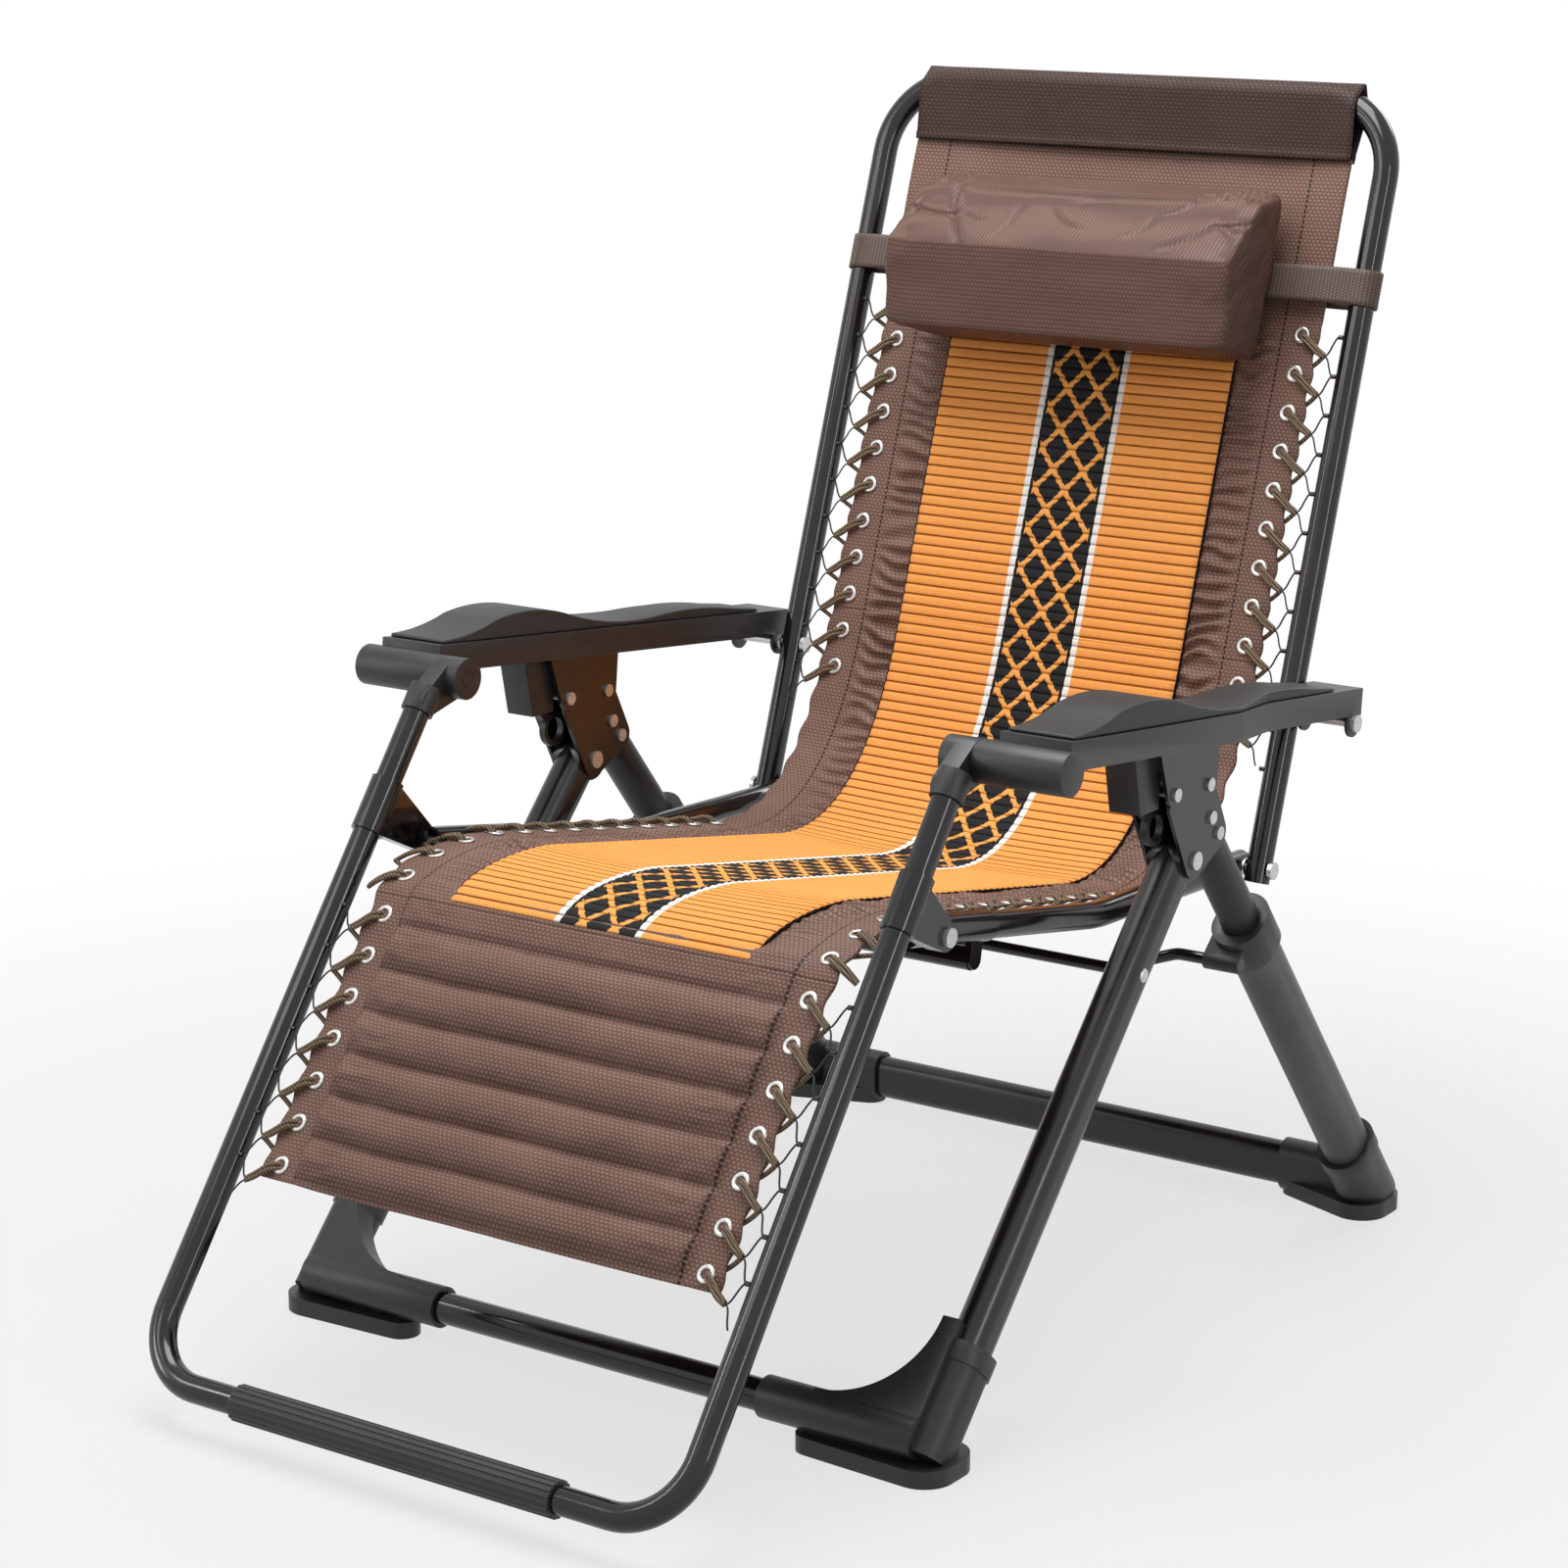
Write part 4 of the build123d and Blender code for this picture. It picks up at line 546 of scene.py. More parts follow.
@dataclass(frozen=True)
class Mat:
    """Ribbed woven mat: two plain fields, and a dark middle band with a knotted lattice between pale lines."""

    name: str
    rib: float = 0.0091
    thread: float = 0.0032
    band: float = 0.0362
    line: float = 0.0058
    knot_wide: float = 0.0310
    knot_tall: float = 0.0365
    lattice_half: float = 0.0330
    edge: float = 0.1456

    def ropes(self, bench: Bench, u: bpy.types.NodeSocket, v: bpy.types.NodeSocket) -> bpy.types.NodeSocket:
        """How near a place is to the lattice's ropes, whose links swell between the knots.

        Args:
            bench: the material's bench.
            u: place across the mat.
            v: place along the mat.

        Returns:
            From 0 off the ropes to 1 on their middle line.
        """
        slants = [bench.math("MULTIPLY_ADD", v, sign / self.knot_tall, bench.math("DIVIDE", u, self.knot_wide))
                  for sign in (1.0, -1.0)]
        nears = [bench.math("ABSOLUTE", bench.math("SUBTRACT", bench.math("FRACT", slant), 0.5)) for slant in slants]
        ropes = []
        for near, other in (nears, nears[::-1]):
            link = bench.math("ABSOLUTE", bench.math("SINE", bench.math("MULTIPLY", other, 3 * math.pi)))
            wide = bench.math("MULTIPLY_ADD", link, 0.042, 0.080)
            ropes.append(bench.span(bench.math("DIVIDE", near, wide), 1.15, 0.55))
        knot = bench.span(bench.math("ADD", nears[0], nears[1]), 0.215, 0.150)
        return bench.math("MAXIMUM", bench.math("MAXIMUM", ropes[0], ropes[1]), knot)

    def build(self, groups: dict[str, bpy.types.NodeTree]) -> bpy.types.Material:
        """The material of this mat, with painted shade darkening its rib grooves."""
        material, bench, shader = start_material(self.name)
        lie = bench.add("ShaderNodeUVMap", uv_map="cloth").outputs[0]
        parts = bench.add("ShaderNodeSeparateXYZ", {0: lie})
        u, v = parts.outputs[0], parts.outputs[1]
        off = bench.math("ABSOLUTE", u)
        rib = bench.math("ABSOLUTE", bench.math("SINE", bench.math("MULTIPLY", v, math.pi / self.rib)))
        half_rib = bench.math("ABSOLUTE", bench.math("SINE", bench.math("MULTIPLY", v, 2 * math.pi / self.rib)))
        thread = bench.math("ABSOLUTE", bench.math("SINE", bench.math("MULTIPLY", u, math.pi / self.thread)))
        # painted shade: this falls low in the valleys between the ribs, and the colours below darken there
        groove = bench.span(rib, 0.10, 0.44)
        twist = bench.math("MULTIPLY_ADD", thread, 0.55, bench.math("MULTIPLY", half_rib, 0.45))
        # this mixes the painted groove shade with the thread pattern; it also drives the bump
        knit_and_groove_shade = bench.math("MULTIPLY", groove, bench.math("MULTIPLY_ADD", twist, 0.35, 0.65))
        where = bench.add("ShaderNodeTexCoord").outputs["Object"]
        grain = bench.add("ShaderNodeGroup", node_tree=groups["grain"])
        bench.feed(grain.inputs[0], where)
        bench.feed(grain.inputs[1], 240.0)
        tone = bench.math("MULTIPLY_ADD", grain.outputs[0], 0.16, bench.math("MULTIPLY", knit_and_groove_shade, 0.92))
        # the first colour is painted shade for the rib valleys, the second the mat's own orange
        field_colour = bench.mix(bench.span(tone, 0.10, 0.95), (0.30, 0.088, 0.012), (0.97, 0.400, 0.105))
        rope = bench.math("MULTIPLY", self.ropes(bench, u, v), bench.math("LESS_THAN", off, self.lattice_half))
        # the dark band, its knots and the pale lines take the same painted groove shade
        dark = bench.mix(bench.span(knit_and_groove_shade, 0.2, 0.95), (0.004, 0.004, 0.004), (0.020, 0.020, 0.021))
        knots = bench.mix(bench.span(tone, 0.0, 0.85), (0.52, 0.17, 0.028), (0.96, 0.43, 0.11))
        band = bench.mix(bench.span(rope, 0.05, 0.50), dark, knots)
        inside = bench.math("LESS_THAN", off, self.band)
        colour = bench.mix(inside, field_colour, band)
        pale = bench.math("MULTIPLY", bench.math("GREATER_THAN", off, self.band),
                          bench.math("LESS_THAN", off, self.band + self.line))
        chalk = bench.mix(bench.span(knit_and_groove_shade, 0.0, 0.8), (0.56, 0.53, 0.49), (0.90, 0.88, 0.85))
        colour = bench.mix(pale, colour, chalk)
        colour = bench.mix(bench.math("GREATER_THAN", off, self.edge), colour, (0.016, 0.009, 0.008))
        bench.feed(shader.inputs["Base Color"], colour)
        shader.inputs["Roughness"].default_value = 0.80
        height = bench.math("ADD", knit_and_groove_shade, bench.math("MULTIPLY", bench.math("MULTIPLY", rope, inside), 1.3))
        bump = bench.add("ShaderNodeBump", {"Height": height, "Strength": 0.7, "Distance": 0.0012})
        bench.feed(shader.inputs["Normal"], bump.outputs[0])
        shader.inputs["Specular IOR Level"].default_value = 0.15
        return material


@dataclass(frozen=True)
class Braid:
    """Braided cord: two tones that cross along its length."""

    name: str
    dark: Colour
    light: Colour

    def build(self, groups: dict[str, bpy.types.NodeTree]) -> bpy.types.Material:
        """The material of this cord."""
        material, bench, shader = start_material(self.name)
        where = bench.add("ShaderNodeTexCoord").outputs["Object"]
        wave = bench.add("ShaderNodeTexWave", {"Vector": where, "Scale": 150.0, "Distortion": 2.5, "Detail": 1.0},
                         bands_direction="DIAGONAL")
        grain = bench.add("ShaderNodeGroup", node_tree=groups["grain"])
        bench.feed(grain.inputs[0], where)
        bench.feed(grain.inputs[1], 500.0)
        tone = bench.math("MULTIPLY_ADD", grain.outputs[0], 0.4, bench.math("MULTIPLY", wave.outputs[1], 0.7))
        bench.feed(shader.inputs["Base Color"], bench.mix(bench.span(tone, 0.25, 0.85), self.dark, self.light))
        shader.inputs["Roughness"].default_value = 0.72
        bump = bench.add("ShaderNodeBump", {"Height": wave.outputs[1], "Strength": 0.3, "Distance": 0.0004})
        bench.feed(shader.inputs["Normal"], bump.outputs[0])
        return material


def cloth_sheet(name: str, xs: list[float], ss: list[float], place: Callable[[float, float], Vector],
                thick: float) -> bpy.types.Object:
    """A sheet from a grid: each grid point is put where the cloth lies, and the sheet gets its thickness.

    Args:
        name: the piece's name.
        xs: places across the sheet.
        ss: places along the sheet, foot end first.
        place: the point for a place across and along.
        thick: the cloth's thickness.

    Returns:
        The finished piece, with the places as its UV map named cloth.
    """
    deselect()
    bpy.ops.mesh.primitive_grid_add(x_subdivisions=len(xs) - 1, y_subdivisions=len(ss) - 1, size=1.0)
    piece = bpy.context.object
    piece.name = name
    mesh = piece.data
    mesh.name = name
    flat: list[float] = []
    for s in ss:
        for x in xs:
            flat.extend(place(x, s))
    mesh.vertices.foreach_set("co", flat)
    layer = mesh.uv_layers[0]
    layer.name = "cloth"
    wide = len(xs)
    for loop in mesh.loops:
        layer.data[loop.index].uv = (xs[loop.vertex_index % wide], ss[loop.vertex_index // wide])
    mesh.update()
    solid = piece.modifiers.new("thickness", "SOLIDIFY")
    solid.thickness = thick
    solid.offset = -1.0
    apply_modifiers(piece)
    choose(piece)
    bpy.ops.object.shade_smooth()
    return piece


def spread(low: float, high: float, step: float) -> list[float]:
    """Even places from low to high, about a step apart."""
    count = max(2, round((high - low) / step))
    return [low + (high - low) * i / count for i in range(count + 1)]


@dataclass
class Sling:
    """The laced sling and its woven mat, cut at the pivots; each piece on one body rides it, and a piece between two
    bodies stays where it is built.
    """

    line: SlingLine
    finishes: Finishes
    thick: float = 0.0022
    back_half: float = 0.222
    seat_half: float = 0.216
    mat_half: float = 0.147
    mat_thick: float = 0.0030
    mat_head: float = 0.470
    pitch: float = 0.034
    channel: float = 0.036
    channel_top: float = 0.391
    crown: float = 0.0105
    channel_half: float = 0.188
    gather: float = 0.0031

    def half(self, s: float) -> float:
        """Half the sling's width at a place along it."""
        marks = self.line.marks
        seat = ease(s, *marks[Run.TAIL]) * (1 - ease(s, *marks[Run.KNEE]))
        return self.back_half + (self.seat_half - self.back_half) * seat

    def sag(self, x: float, s: float) -> float:
        """How far the sling gives way behind its edges."""
        marks = self.line.marks
        seat = ease(s, marks[Run.BACK][1] - 0.05, marks[Run.TAIL][1]) * (1 - ease(s, *marks[Run.KNEE]))
        leg = ease(s, *marks[Run.KNEE])
        depth = 0.004 + 0.004 * seat - 0.003 * leg
        return -depth * max(0.0, 1 - (x / 0.215) ** 2)

    def folds(self, x: float, s: float) -> float:
        """Gathered folds beside the mat and soft waves towards the laced edge."""
        marks = self.line.marks
        side = abs(x)
        gather = ease(side, 0.1455, 0.1490) * (1 - ease(side, 0.168, 0.189))
        gather *= ease(s, 0.12, 0.19) * (1 - 0.85 * ease(s, marks[Run.KNEE][0] + 0.02, marks[Run.KNEE][1]))
        sway = noise.noise(Vector((x * 34, s * 30, 3.1 if x > 0 else 8.7)))
        wave = math.sin(2 * math.pi * (s / 0.0138) + 5.0 * sway + 45 * side)
        pinch = 1 - 2 * (1 - abs(wave)) ** 2 if wave < 0 else wave
        deep = 0.75 + 0.9 * noise.noise(Vector((x * 18, s * 26, 1.3)))
        long_fold = noise.noise(Vector((x * 9, s * 11, 6.0))) * ease(side, 0.10, 0.16) * (1 - ease(s, 0.10, 0.16))
        edge = 0.0006 * ease(side, 0.185, 0.215) * ease(s, 0.14, 0.16) * math.sin(2 * math.pi * s / self.pitch)
        return gather * self.gather * (wave + 0.25 * pinch) * max(0.2, deep) + edge + 0.0016 * long_fold

    def channels(self, x: float, s: float) -> float:
        """Padded channels across the legrest."""
        up = self.line.leg_start - (s - self.line.marks[Run.LEGREST][0])
        fade = 1 - ease(abs(x), self.channel_half - 0.006, self.channel_half + 0.003)
        wrinkle = noise.noise(Vector((x * 22, s * 75, 5.0))) + 0.5 * noise.noise(Vector((x * 60, s * 120, 2.0)))
        if up > self.channel_top:
            band = ease(up, self.channel_top, self.channel_top + 0.010) * (1 - ease(up, 0.428, 0.446))
            return fade * band * (0.0035 + 0.0006 * wrinkle)
        turn = (self.channel_top - up + 0.0022 * noise.noise(Vector((x * 9, 0.4, 1.0)))) / self.channel % 1.0
        puff = (1 - (2 * turn - 1) ** 2) ** 0.62
        end = ease(abs(x), 0.10, self.channel_half)
        low = 1 - 0.5 * ease(up, 0.186, self.line.foot)
        return fade * (low * self.crown * puff * (1 - 0.25 * end) + 0.0012 * wrinkle * (0.5 + end))

    def surface(self, x: float, s: float, out: float = 0.0, folded: bool = True) -> Vector:
        """The point of the sling's face at a place across and along it."""
        place, normal = self.line.at(s)
        lift = self.sag(x, s) + out
        if folded:
            lift += self.folds(x, s) + self.channels(x, s)
        return Vector((x, place.y, place.z)) + normal * lift

    def cloth_point(self, share: float, s: float) -> Vector:
        """The cloth's face, with its laced edge drawn in between the eyelets."""
        half = self.half(s)
        laced = ease(abs(share), 0.93, 1.0) * ease(s, 0.14, 0.16)
        scallop = 0.0016 * laced * (math.cos(2 * math.pi * (0.612 - s - 0.016) / self.pitch) - 1)
        return self.surface(share * (half + scallop), s, self.thick / 2)

    def cloth(self, name: str, first: float, last: float, step: float) -> bpy.types.Object:
        """One length of the sling's cloth."""
        shares = spread(-1.0, 1.0, 0.013)
        piece = cloth_sheet(name, shares, spread(last, first, -step), self.cloth_point, self.thick)
        layer = piece.data.uv_layers["cloth"]
        for loop in piece.data.loops:
            uv = layer.data[loop.index].uv
            layer.data[loop.index].uv = (uv[0] * self.half(uv[1]), uv[1])
        dress(piece, self.finishes["sling_cloth"])
        return piece

    def mat(self, name: str, first: float, last: float) -> bpy.types.Object:
        """One length of the mat, ribbed across."""
        def rib(x: float, s: float) -> Vector:
            ridge = 0.0012 * abs(math.sin(math.pi * s / 0.0091)) ** 0.6
            roll = 0.0012 * ease(abs(x), self.mat_half - 0.003, self.mat_half)
            return self.surface(x, s, self.thick / 2 + self.mat_thick + ridge - roll, folded=False)
        xs = spread(-self.mat_half, self.mat_half, 0.006)
        piece = cloth_sheet(name, xs, spread(last, first, -0.0016), rib, self.mat_thick)
        dress(piece, self.finishes["woven_mat"])
        return piece

    def span_point(self, s: float) -> tuple[float, float, float]:
        """The middle of the sling at a place along it."""
        place, _ = self.line.at(s)
        return (0.0, place.y, place.z)

    def build(self) -> None:
        """Builds the cloth and the mat and lets each length on a single body ride it."""
        marks = self.line.marks
        mat_first = self.line.head - self.mat_head
        mat_last = marks[Run.KNEE][0] + 0.97 * (marks[Run.KNEE][1] - marks[Run.KNEE][0])
        lengths = [
            ("back_cloth", marks[Run.BACK][0], marks[Run.BACK][1], ("back",), "back_sling"),
            ("tail_cloth", marks[Run.TAIL][0], marks[Run.TAIL][1], ("back", "seat"), None),
            ("seat_cloth", marks[Run.SEAT][0], marks[Run.SEAT][1], ("seat",), "seat_sling"),
            ("knee_cloth", marks[Run.KNEE][0], marks[Run.KNEE][1], ("seat", "legrest"), "knee_sling"),
            ("legrest_cloth", marks[Run.LEGREST][0], marks[Run.LEGREST][1], ("legrest",), "legrest_sling"),
        ]
        for name, first, last, bodies, node in lengths:
            fine = 0.0018 if name == "legrest_cloth" else 0.0022
            piece = self.cloth(name, first, last, fine)
            self.hold(piece, first, last, bodies, node)
        for name, first, last, bodies, node in lengths[:4]:
            low, high = max(first, mat_first), min(last, mat_last)
            if high - low < 0.004:
                continue
            piece = self.mat(name.replace("cloth", "mat"), low, high)
            target = {"back_cloth": "back_mat", "seat_cloth": "seat_mat"}.get(name)
            self.hold(piece, first, last, bodies, target)
        LOG.info("sling cloth and mat")

    def hold(self, piece: bpy.types.Object, first: float, last: float, bodies: tuple[str, ...],
             node: str | None) -> None:
        """Lets a length of the sling ride one body; a length between two bodies is only fixed in place."""
        if len(bodies) == 1:
            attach(piece, bodies[0])
        else:
            self.span_point(first)
            self.span_point(last)
            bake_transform(piece)
        if node:
            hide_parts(node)


def cords(name: str, routes: list[list[Vector]], radius: float, material: bpy.types.Material) -> bpy.types.Object:
    """Short held cords as one piece, each along its own smooth line.

    Args:
        name: the piece's name.
        routes: the points of each cord.
        radius: the cord's radius.
        material: its finish.

    Returns:
        The finished piece.
    """
    deselect()
    curve = bpy.data.curves.new(name, "CURVE")
    curve.dimensions = "3D"
    curve.bevel_depth = radius
    curve.bevel_resolution = 1
    curve.resolution_u = 4
    curve.use_fill_caps = True
    for route in routes:
        spline = curve.splines.new("NURBS")
        spline.points.add(len(route) - 1)
        for point, place in zip(spline.points, route):
            point.co = (*place, 1.0)
        spline.order_u = 3
        spline.use_endpoint_u = True
    piece = bpy.data.objects.new(name, curve)
    bpy.context.scene.collection.objects.link(piece)
    choose(piece)
    bpy.ops.object.convert(target="MESH")
    piece = bpy.context.object
    choose(piece)
    bpy.ops.object.shade_smooth()
    dress(piece, material)
    return piece


@dataclass
class Lacing:
    """Eyelets, elastic laces and the thin string that ties them to the tubes."""

    sling: Sling
    finishes: Finishes
    eyelet_x: float = 0.205
    ring: float = 0.0058
    ring_thick: float = 0.0019
    reach: float = 0.026
    lace_r: float = 0.0020
    string_r: float = 0.0008
    strand_gap: float = 0.0020

    def eyelets(self, name: str, rows: list[float], body: str, node: str | None) -> None:
        """Rolled metal eyelets along both edges."""
        deselect()
        bpy.ops.mesh.primitive_torus_add(major_radius=self.ring, minor_radius=self.ring_thick,
                                         major_segments=24, minor_segments=8)
        model = bpy.context.object
        bpy.ops.object.mode_set(mode="EDIT")
        bpy.ops.mesh.select_all(action="SELECT")
        bpy.ops.transform.resize(value=(1.0, 1.0, 0.62))
        bpy.ops.object.mode_set(mode="OBJECT")
        copies = []
        for s in rows:
            for side in Side:
                x = side.value * self.eyelet_x
                _, normal = self.sling.line.at(s)
                ring = model.copy()
                ring.data = model.data.copy()
                bpy.context.scene.collection.objects.link(ring)
                ring.location = self.sling.surface(x, s, 0.0014, folded=False)
                ring.rotation_euler = Vector((0, 0, 1)).rotation_difference(normal).to_euler()
                copies.append(ring)
        bpy.data.objects.remove(model)
        deselect()
        for ring in copies:
            ring.select_set(True)
        bpy.context.view_layer.objects.active = copies[0]
        bpy.ops.object.join()
        piece = bpy.context.object
        bpy.ops.object.transform_apply(location=True, rotation=True, scale=True)
        piece.name = name
        bpy.ops.object.shade_smooth()
        dress(piece, self.finishes["eyelet_nickel"])
        self.carry(piece, body)
        if node:
            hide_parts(node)

    def carry(self, piece: bpy.types.Object, body: str) -> None:
        """Lets a piece ride its body; a knee piece is fixed in place like the knee's cloth."""
        if body == "knee":
            self.sling.hold(piece, *self.sling.line.marks[Run.KNEE], ("seat", "legrest"), None)
        else:
            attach(piece, body)

    def point(self, x: float, s: float, out: float) -> Vector:
        """A point over the sling's plane, whatever its sag."""
        place, normal = self.sling.line.at(s)
        return Vector((x, place.y, place.z)) + normal * out

    def laces(self, name: str, rows: list[float], pitch: float, body: str, node: str | None, hook_x: float,
              drop: float) -> list[tuple[float, float]]:
        """Double strands from each eyelet out to a hook point, and the return behind the cloth.

        Args:
            name: the piece's name.
            rows: places of the eyelets along the sling.
            pitch: distance between rows.
            body: the body that carries the laces.
            node: the construction's lacing that this stands for.
            hook_x: how far out the hook points are.
            drop: height of the hook points over the cloth's plane.

        Returns:
            The side sign and place of each hook point.
        """
        routes, hooks = [], []
        for s in rows:
            for side in Side:
                k = side.value
                hook = s + pitch * 0.5
                hooks.append((k, hook))
                for shift in (-self.strand_gap, self.strand_gap):
                    routes.append([self.point(k * self.eyelet_x, s + shift, -0.003),
                                   self.point(k * (self.eyelet_x + 0.003), s + 0.002 + shift, 0.0042),
                                   self.point(k * (self.eyelet_x + 0.010), s + 0.006 + shift, 0.0052),
                                   self.point(k * (hook_x - 0.008), hook - 0.004 + shift, 0.0030 + drop * 0.5),
                                   self.point(k * hook_x, hook + shift * 0.5, drop)])
                if s < max(rows):
                    routes.append([self.point(k * hook_x, hook, drop),
                                   self.point(k * (hook_x - 0.008), hook + 0.005, -0.003),
                                   self.point(k * (self.eyelet_x + 0.008), s + pitch - 0.005, -0.0050),
                                   self.point(k * self.eyelet_x, s + pitch - 0.001, -0.0042)])
        piece = cords(name, routes, self.lace_r, self.finishes["lace_braid"])
        self.carry(piece, body)
        if node:
            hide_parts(node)
        return hooks

    def strings(self, name: str, hooks: list[tuple[float, float]], pitch: float, body: str, node: str,
                hook_x: float, peg_x: float) -> None:
        """Thin ties from the hook points to the pegs on the tube."""
        routes = []
        for k, s in hooks:
            for way in (-1, 1):
                routes.append([self.point(k * (hook_x - 0.001), s, 0.0018), self.point(k * (hook_x + 0.003), s, 0.0030),
                               self.point(k * (peg_x - 0.002), s + way * pitch * 0.42, 0.0044),
                               self.point(k * peg_x, s + way * pitch * 0.5, 0.0040)])
        piece = cords(name, routes, self.string_r, self.finishes["string_black"])
        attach(piece, body)
        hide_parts(node)

    def build(self) -> None:
        """Laces the back, the seat, the knee and the legrest."""
        marks = self.sling.line.marks
        head = self.sling.line.head
        back_rows = [head - (0.084 + 0.034 * i) for i in range(1, 12)]
        seat_rows = [marks[Run.SEAT][0] + (0.350 - 0.076 - 0.034 * i) for i in range(9)]
        leg_rows = [marks[Run.LEGREST][0] + (0.416 - 0.184 - 0.036 * i) for i in range(7)]
        last_seat, first_leg = max(seat_rows), min(leg_rows)
        knee_count = round((first_leg - last_seat) / 0.035)
        knee_rows = [last_seat + (first_leg - last_seat) * i / knee_count for i in range(1, knee_count)]
        self.eyelets("back_eyelets", back_rows, "back", "back_eyelet_rings")
        self.eyelets("seat_eyelets", seat_rows, "seat", "seat_eyelet_rings")
        self.eyelets("legrest_eyelets", leg_rows, "legrest", "legrest_eyelet_rings")
        self.eyelets("knee_eyelets", knee_rows, "knee", None)
        hook_x = self.eyelet_x + self.reach
        hooks = self.laces("back_laces", back_rows, 0.034, "back", "back_lacing", hook_x, 0.0035)
        self.strings("back_ties", hooks, 0.034, "back", "back_string", hook_x, 0.2415)
        hooks = self.laces("legrest_laces", leg_rows, 0.036, "legrest", "legrest_lacing", hook_x, 0.0035)
        self.strings("legrest_ties", hooks, 0.036, "legrest", "legrest_string", hook_x, 0.2415)
        self.laces("seat_laces", seat_rows, 0.034, "seat", "seat_lacing", 0.2225, 0.0015)
        self.laces("knee_laces", knee_rows, 0.030, "knee", None, 0.236, -0.004)
        LOG.info("eyelets, laces and ties")


@dataclass
class HeadEnd:
    """The pocket over the top bar, the head pillow and its strap."""

    layout: Layout
    finishes: Finishes
    pocket_half: float = 0.222
    pocket_drop: float = 0.056
    bar_bend: float = 0.068
    wrap: float = 0.0130
    hem: float = 0.0070
    pillow_half: float = 0.174
    pillow_back: float = 0.0150
    section: tuple[tuple[float, float, int], ...] = (
        (0.428, 0.0150, 12), (0.424, 0.0780, 16), (0.498, 0.0970, 16), (0.561, 0.0520, 7), (0.577, 0.0220, 2),
        (0.572, 0.0150, 11))
    swell_cap: float = 0.0055
    end_rings: float = 0.30
    strap_at: float = 0.501
    strap_wide: float = 0.031
    wrinkles: tuple[tuple[float, float, float, float, float], ...] = (
        (-0.76, 0.10, -0.57, 0.97, 2.6), (-0.98, 0.43, -0.63, 0.53, 2.2), (-1.00, 0.62, -0.92, 0.34, 2.4),
        (-0.60, 0.53, -0.48, 0.57, 1.3), (-0.38, 0.82, -0.32, 0.36, 1.2), (-0.12, 0.36, 0.08, 0.64, 1.3),
        (0.37, 0.74, 0.47, 0.40, 1.4), (0.50, 0.32, 0.64, 0.06, 1.5), (0.61, 0.88, 0.82, 0.42, 1.9),
        (0.82, 0.46, 1.00, 0.33, 2.2), (0.86, 0.40, 0.97, 0.56, 1.8), (0.67, -0.05, 0.85, -0.32, 1.9),
        (0.76, 0.02, 0.99, -0.46, 2.3), (0.88, 0.05, 1.00, -0.40, 2.0), (-0.95, 0.04, -0.78, -0.34, 2.2),
        (-0.90, -0.26, -0.70, -0.03, 1.8), (-0.70, 0.09, 0.78, 0.08, 1.5), (-0.30, 0.20, 0.10, 0.16, 0.8))

    def over(self, x: float, up: float, out: float) -> Vector:
        """A point on the back, in the chair's frame."""
        y, z = self.layout.back(up, out)
        return Vector((x, y, z))

    def bulge(self, x: float, up: float) -> float:
        """How far the pocket's cloth stands off the back's plane, drawn tight from its hem over the bent bar.

        Args:
            x: place across the back.
            up: place up the back.

        Returns:
            The distance from the plane through the tube's middle.
        """
        low, top = self.layout.back_height - self.pocket_drop, self.layout.back_height + self.wrap
        past = max(0.0, abs(x) - (self.layout.tube_x - self.bar_bend))
        bar = self.layout.back_height - self.bar_bend + math.sqrt(self.bar_bend ** 2 - past ** 2)
        most = 0.0
        for i in range(19):
            turn = math.pi * i / 18
            at, out = bar - self.wrap * math.cos(turn), self.wrap * math.sin(turn)
            if up <= at:
                share = (up - low) / (at - low)
                most = max(most, 0.0036 + (out - 0.0036) * share)
            else:
                share = (up - at) / (top - at)
                most = max(most, out + (0.0012 - out) * share)
        return most

    def pocket(self) -> None:
        """Cloth pocket: front sheet, round the top bar, and down the back to the hem."""
        top = self.layout.back_height + self.wrap
        low = self.layout.back_height - self.pocket_drop
        steps = 40
        rises = [low + (top - low) * math.sin(math.pi / 2 * i / steps) for i in range(steps + 1)]
        path = [(up, 1) for up in rises] + [(up, -1) for up in rises[-2::-1]]
        run = [0.0]
        for (a, side), (b, other) in zip(path, path[1:]):
            run.append(run[-1] + math.dist((a, side * self.bulge(0.0, a)), (b, other * self.bulge(0.0, b))))
        lookup = dict(zip(run, path))

        def lie(x: float, s: float) -> Vector:
            up, side = lookup[s]
            roll = 0.0012 * (1 - ease(up, low + self.hem - 0.001, low + self.hem + 0.001))
            fold = noise.noise(Vector((x * 16, up * 9, 0.4 * side))) * ease(up, low, low + 0.02)
            ripple = 0.0009 * fold * (0.5 + ease(abs(x), 0.12, self.pocket_half))
            return self.over(x, up, side * (self.bulge(x, up) + roll + abs(ripple)))
        xs = spread(-self.pocket_half, self.pocket_half, 0.005)
        piece = cloth_sheet("head_pocket_cloth", xs, run, lie, 0.0012)
        choose(piece)
        bpy.ops.object.mode_set(mode="EDIT")
        bpy.ops.mesh.select_all(action="SELECT")
        bpy.ops.mesh.normals_make_consistent(inside=False)
        bpy.ops.object.mode_set(mode="OBJECT")
        dress(piece, self.finishes["pocket_cloth"])
        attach(piece, "back")
        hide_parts("head_pocket")

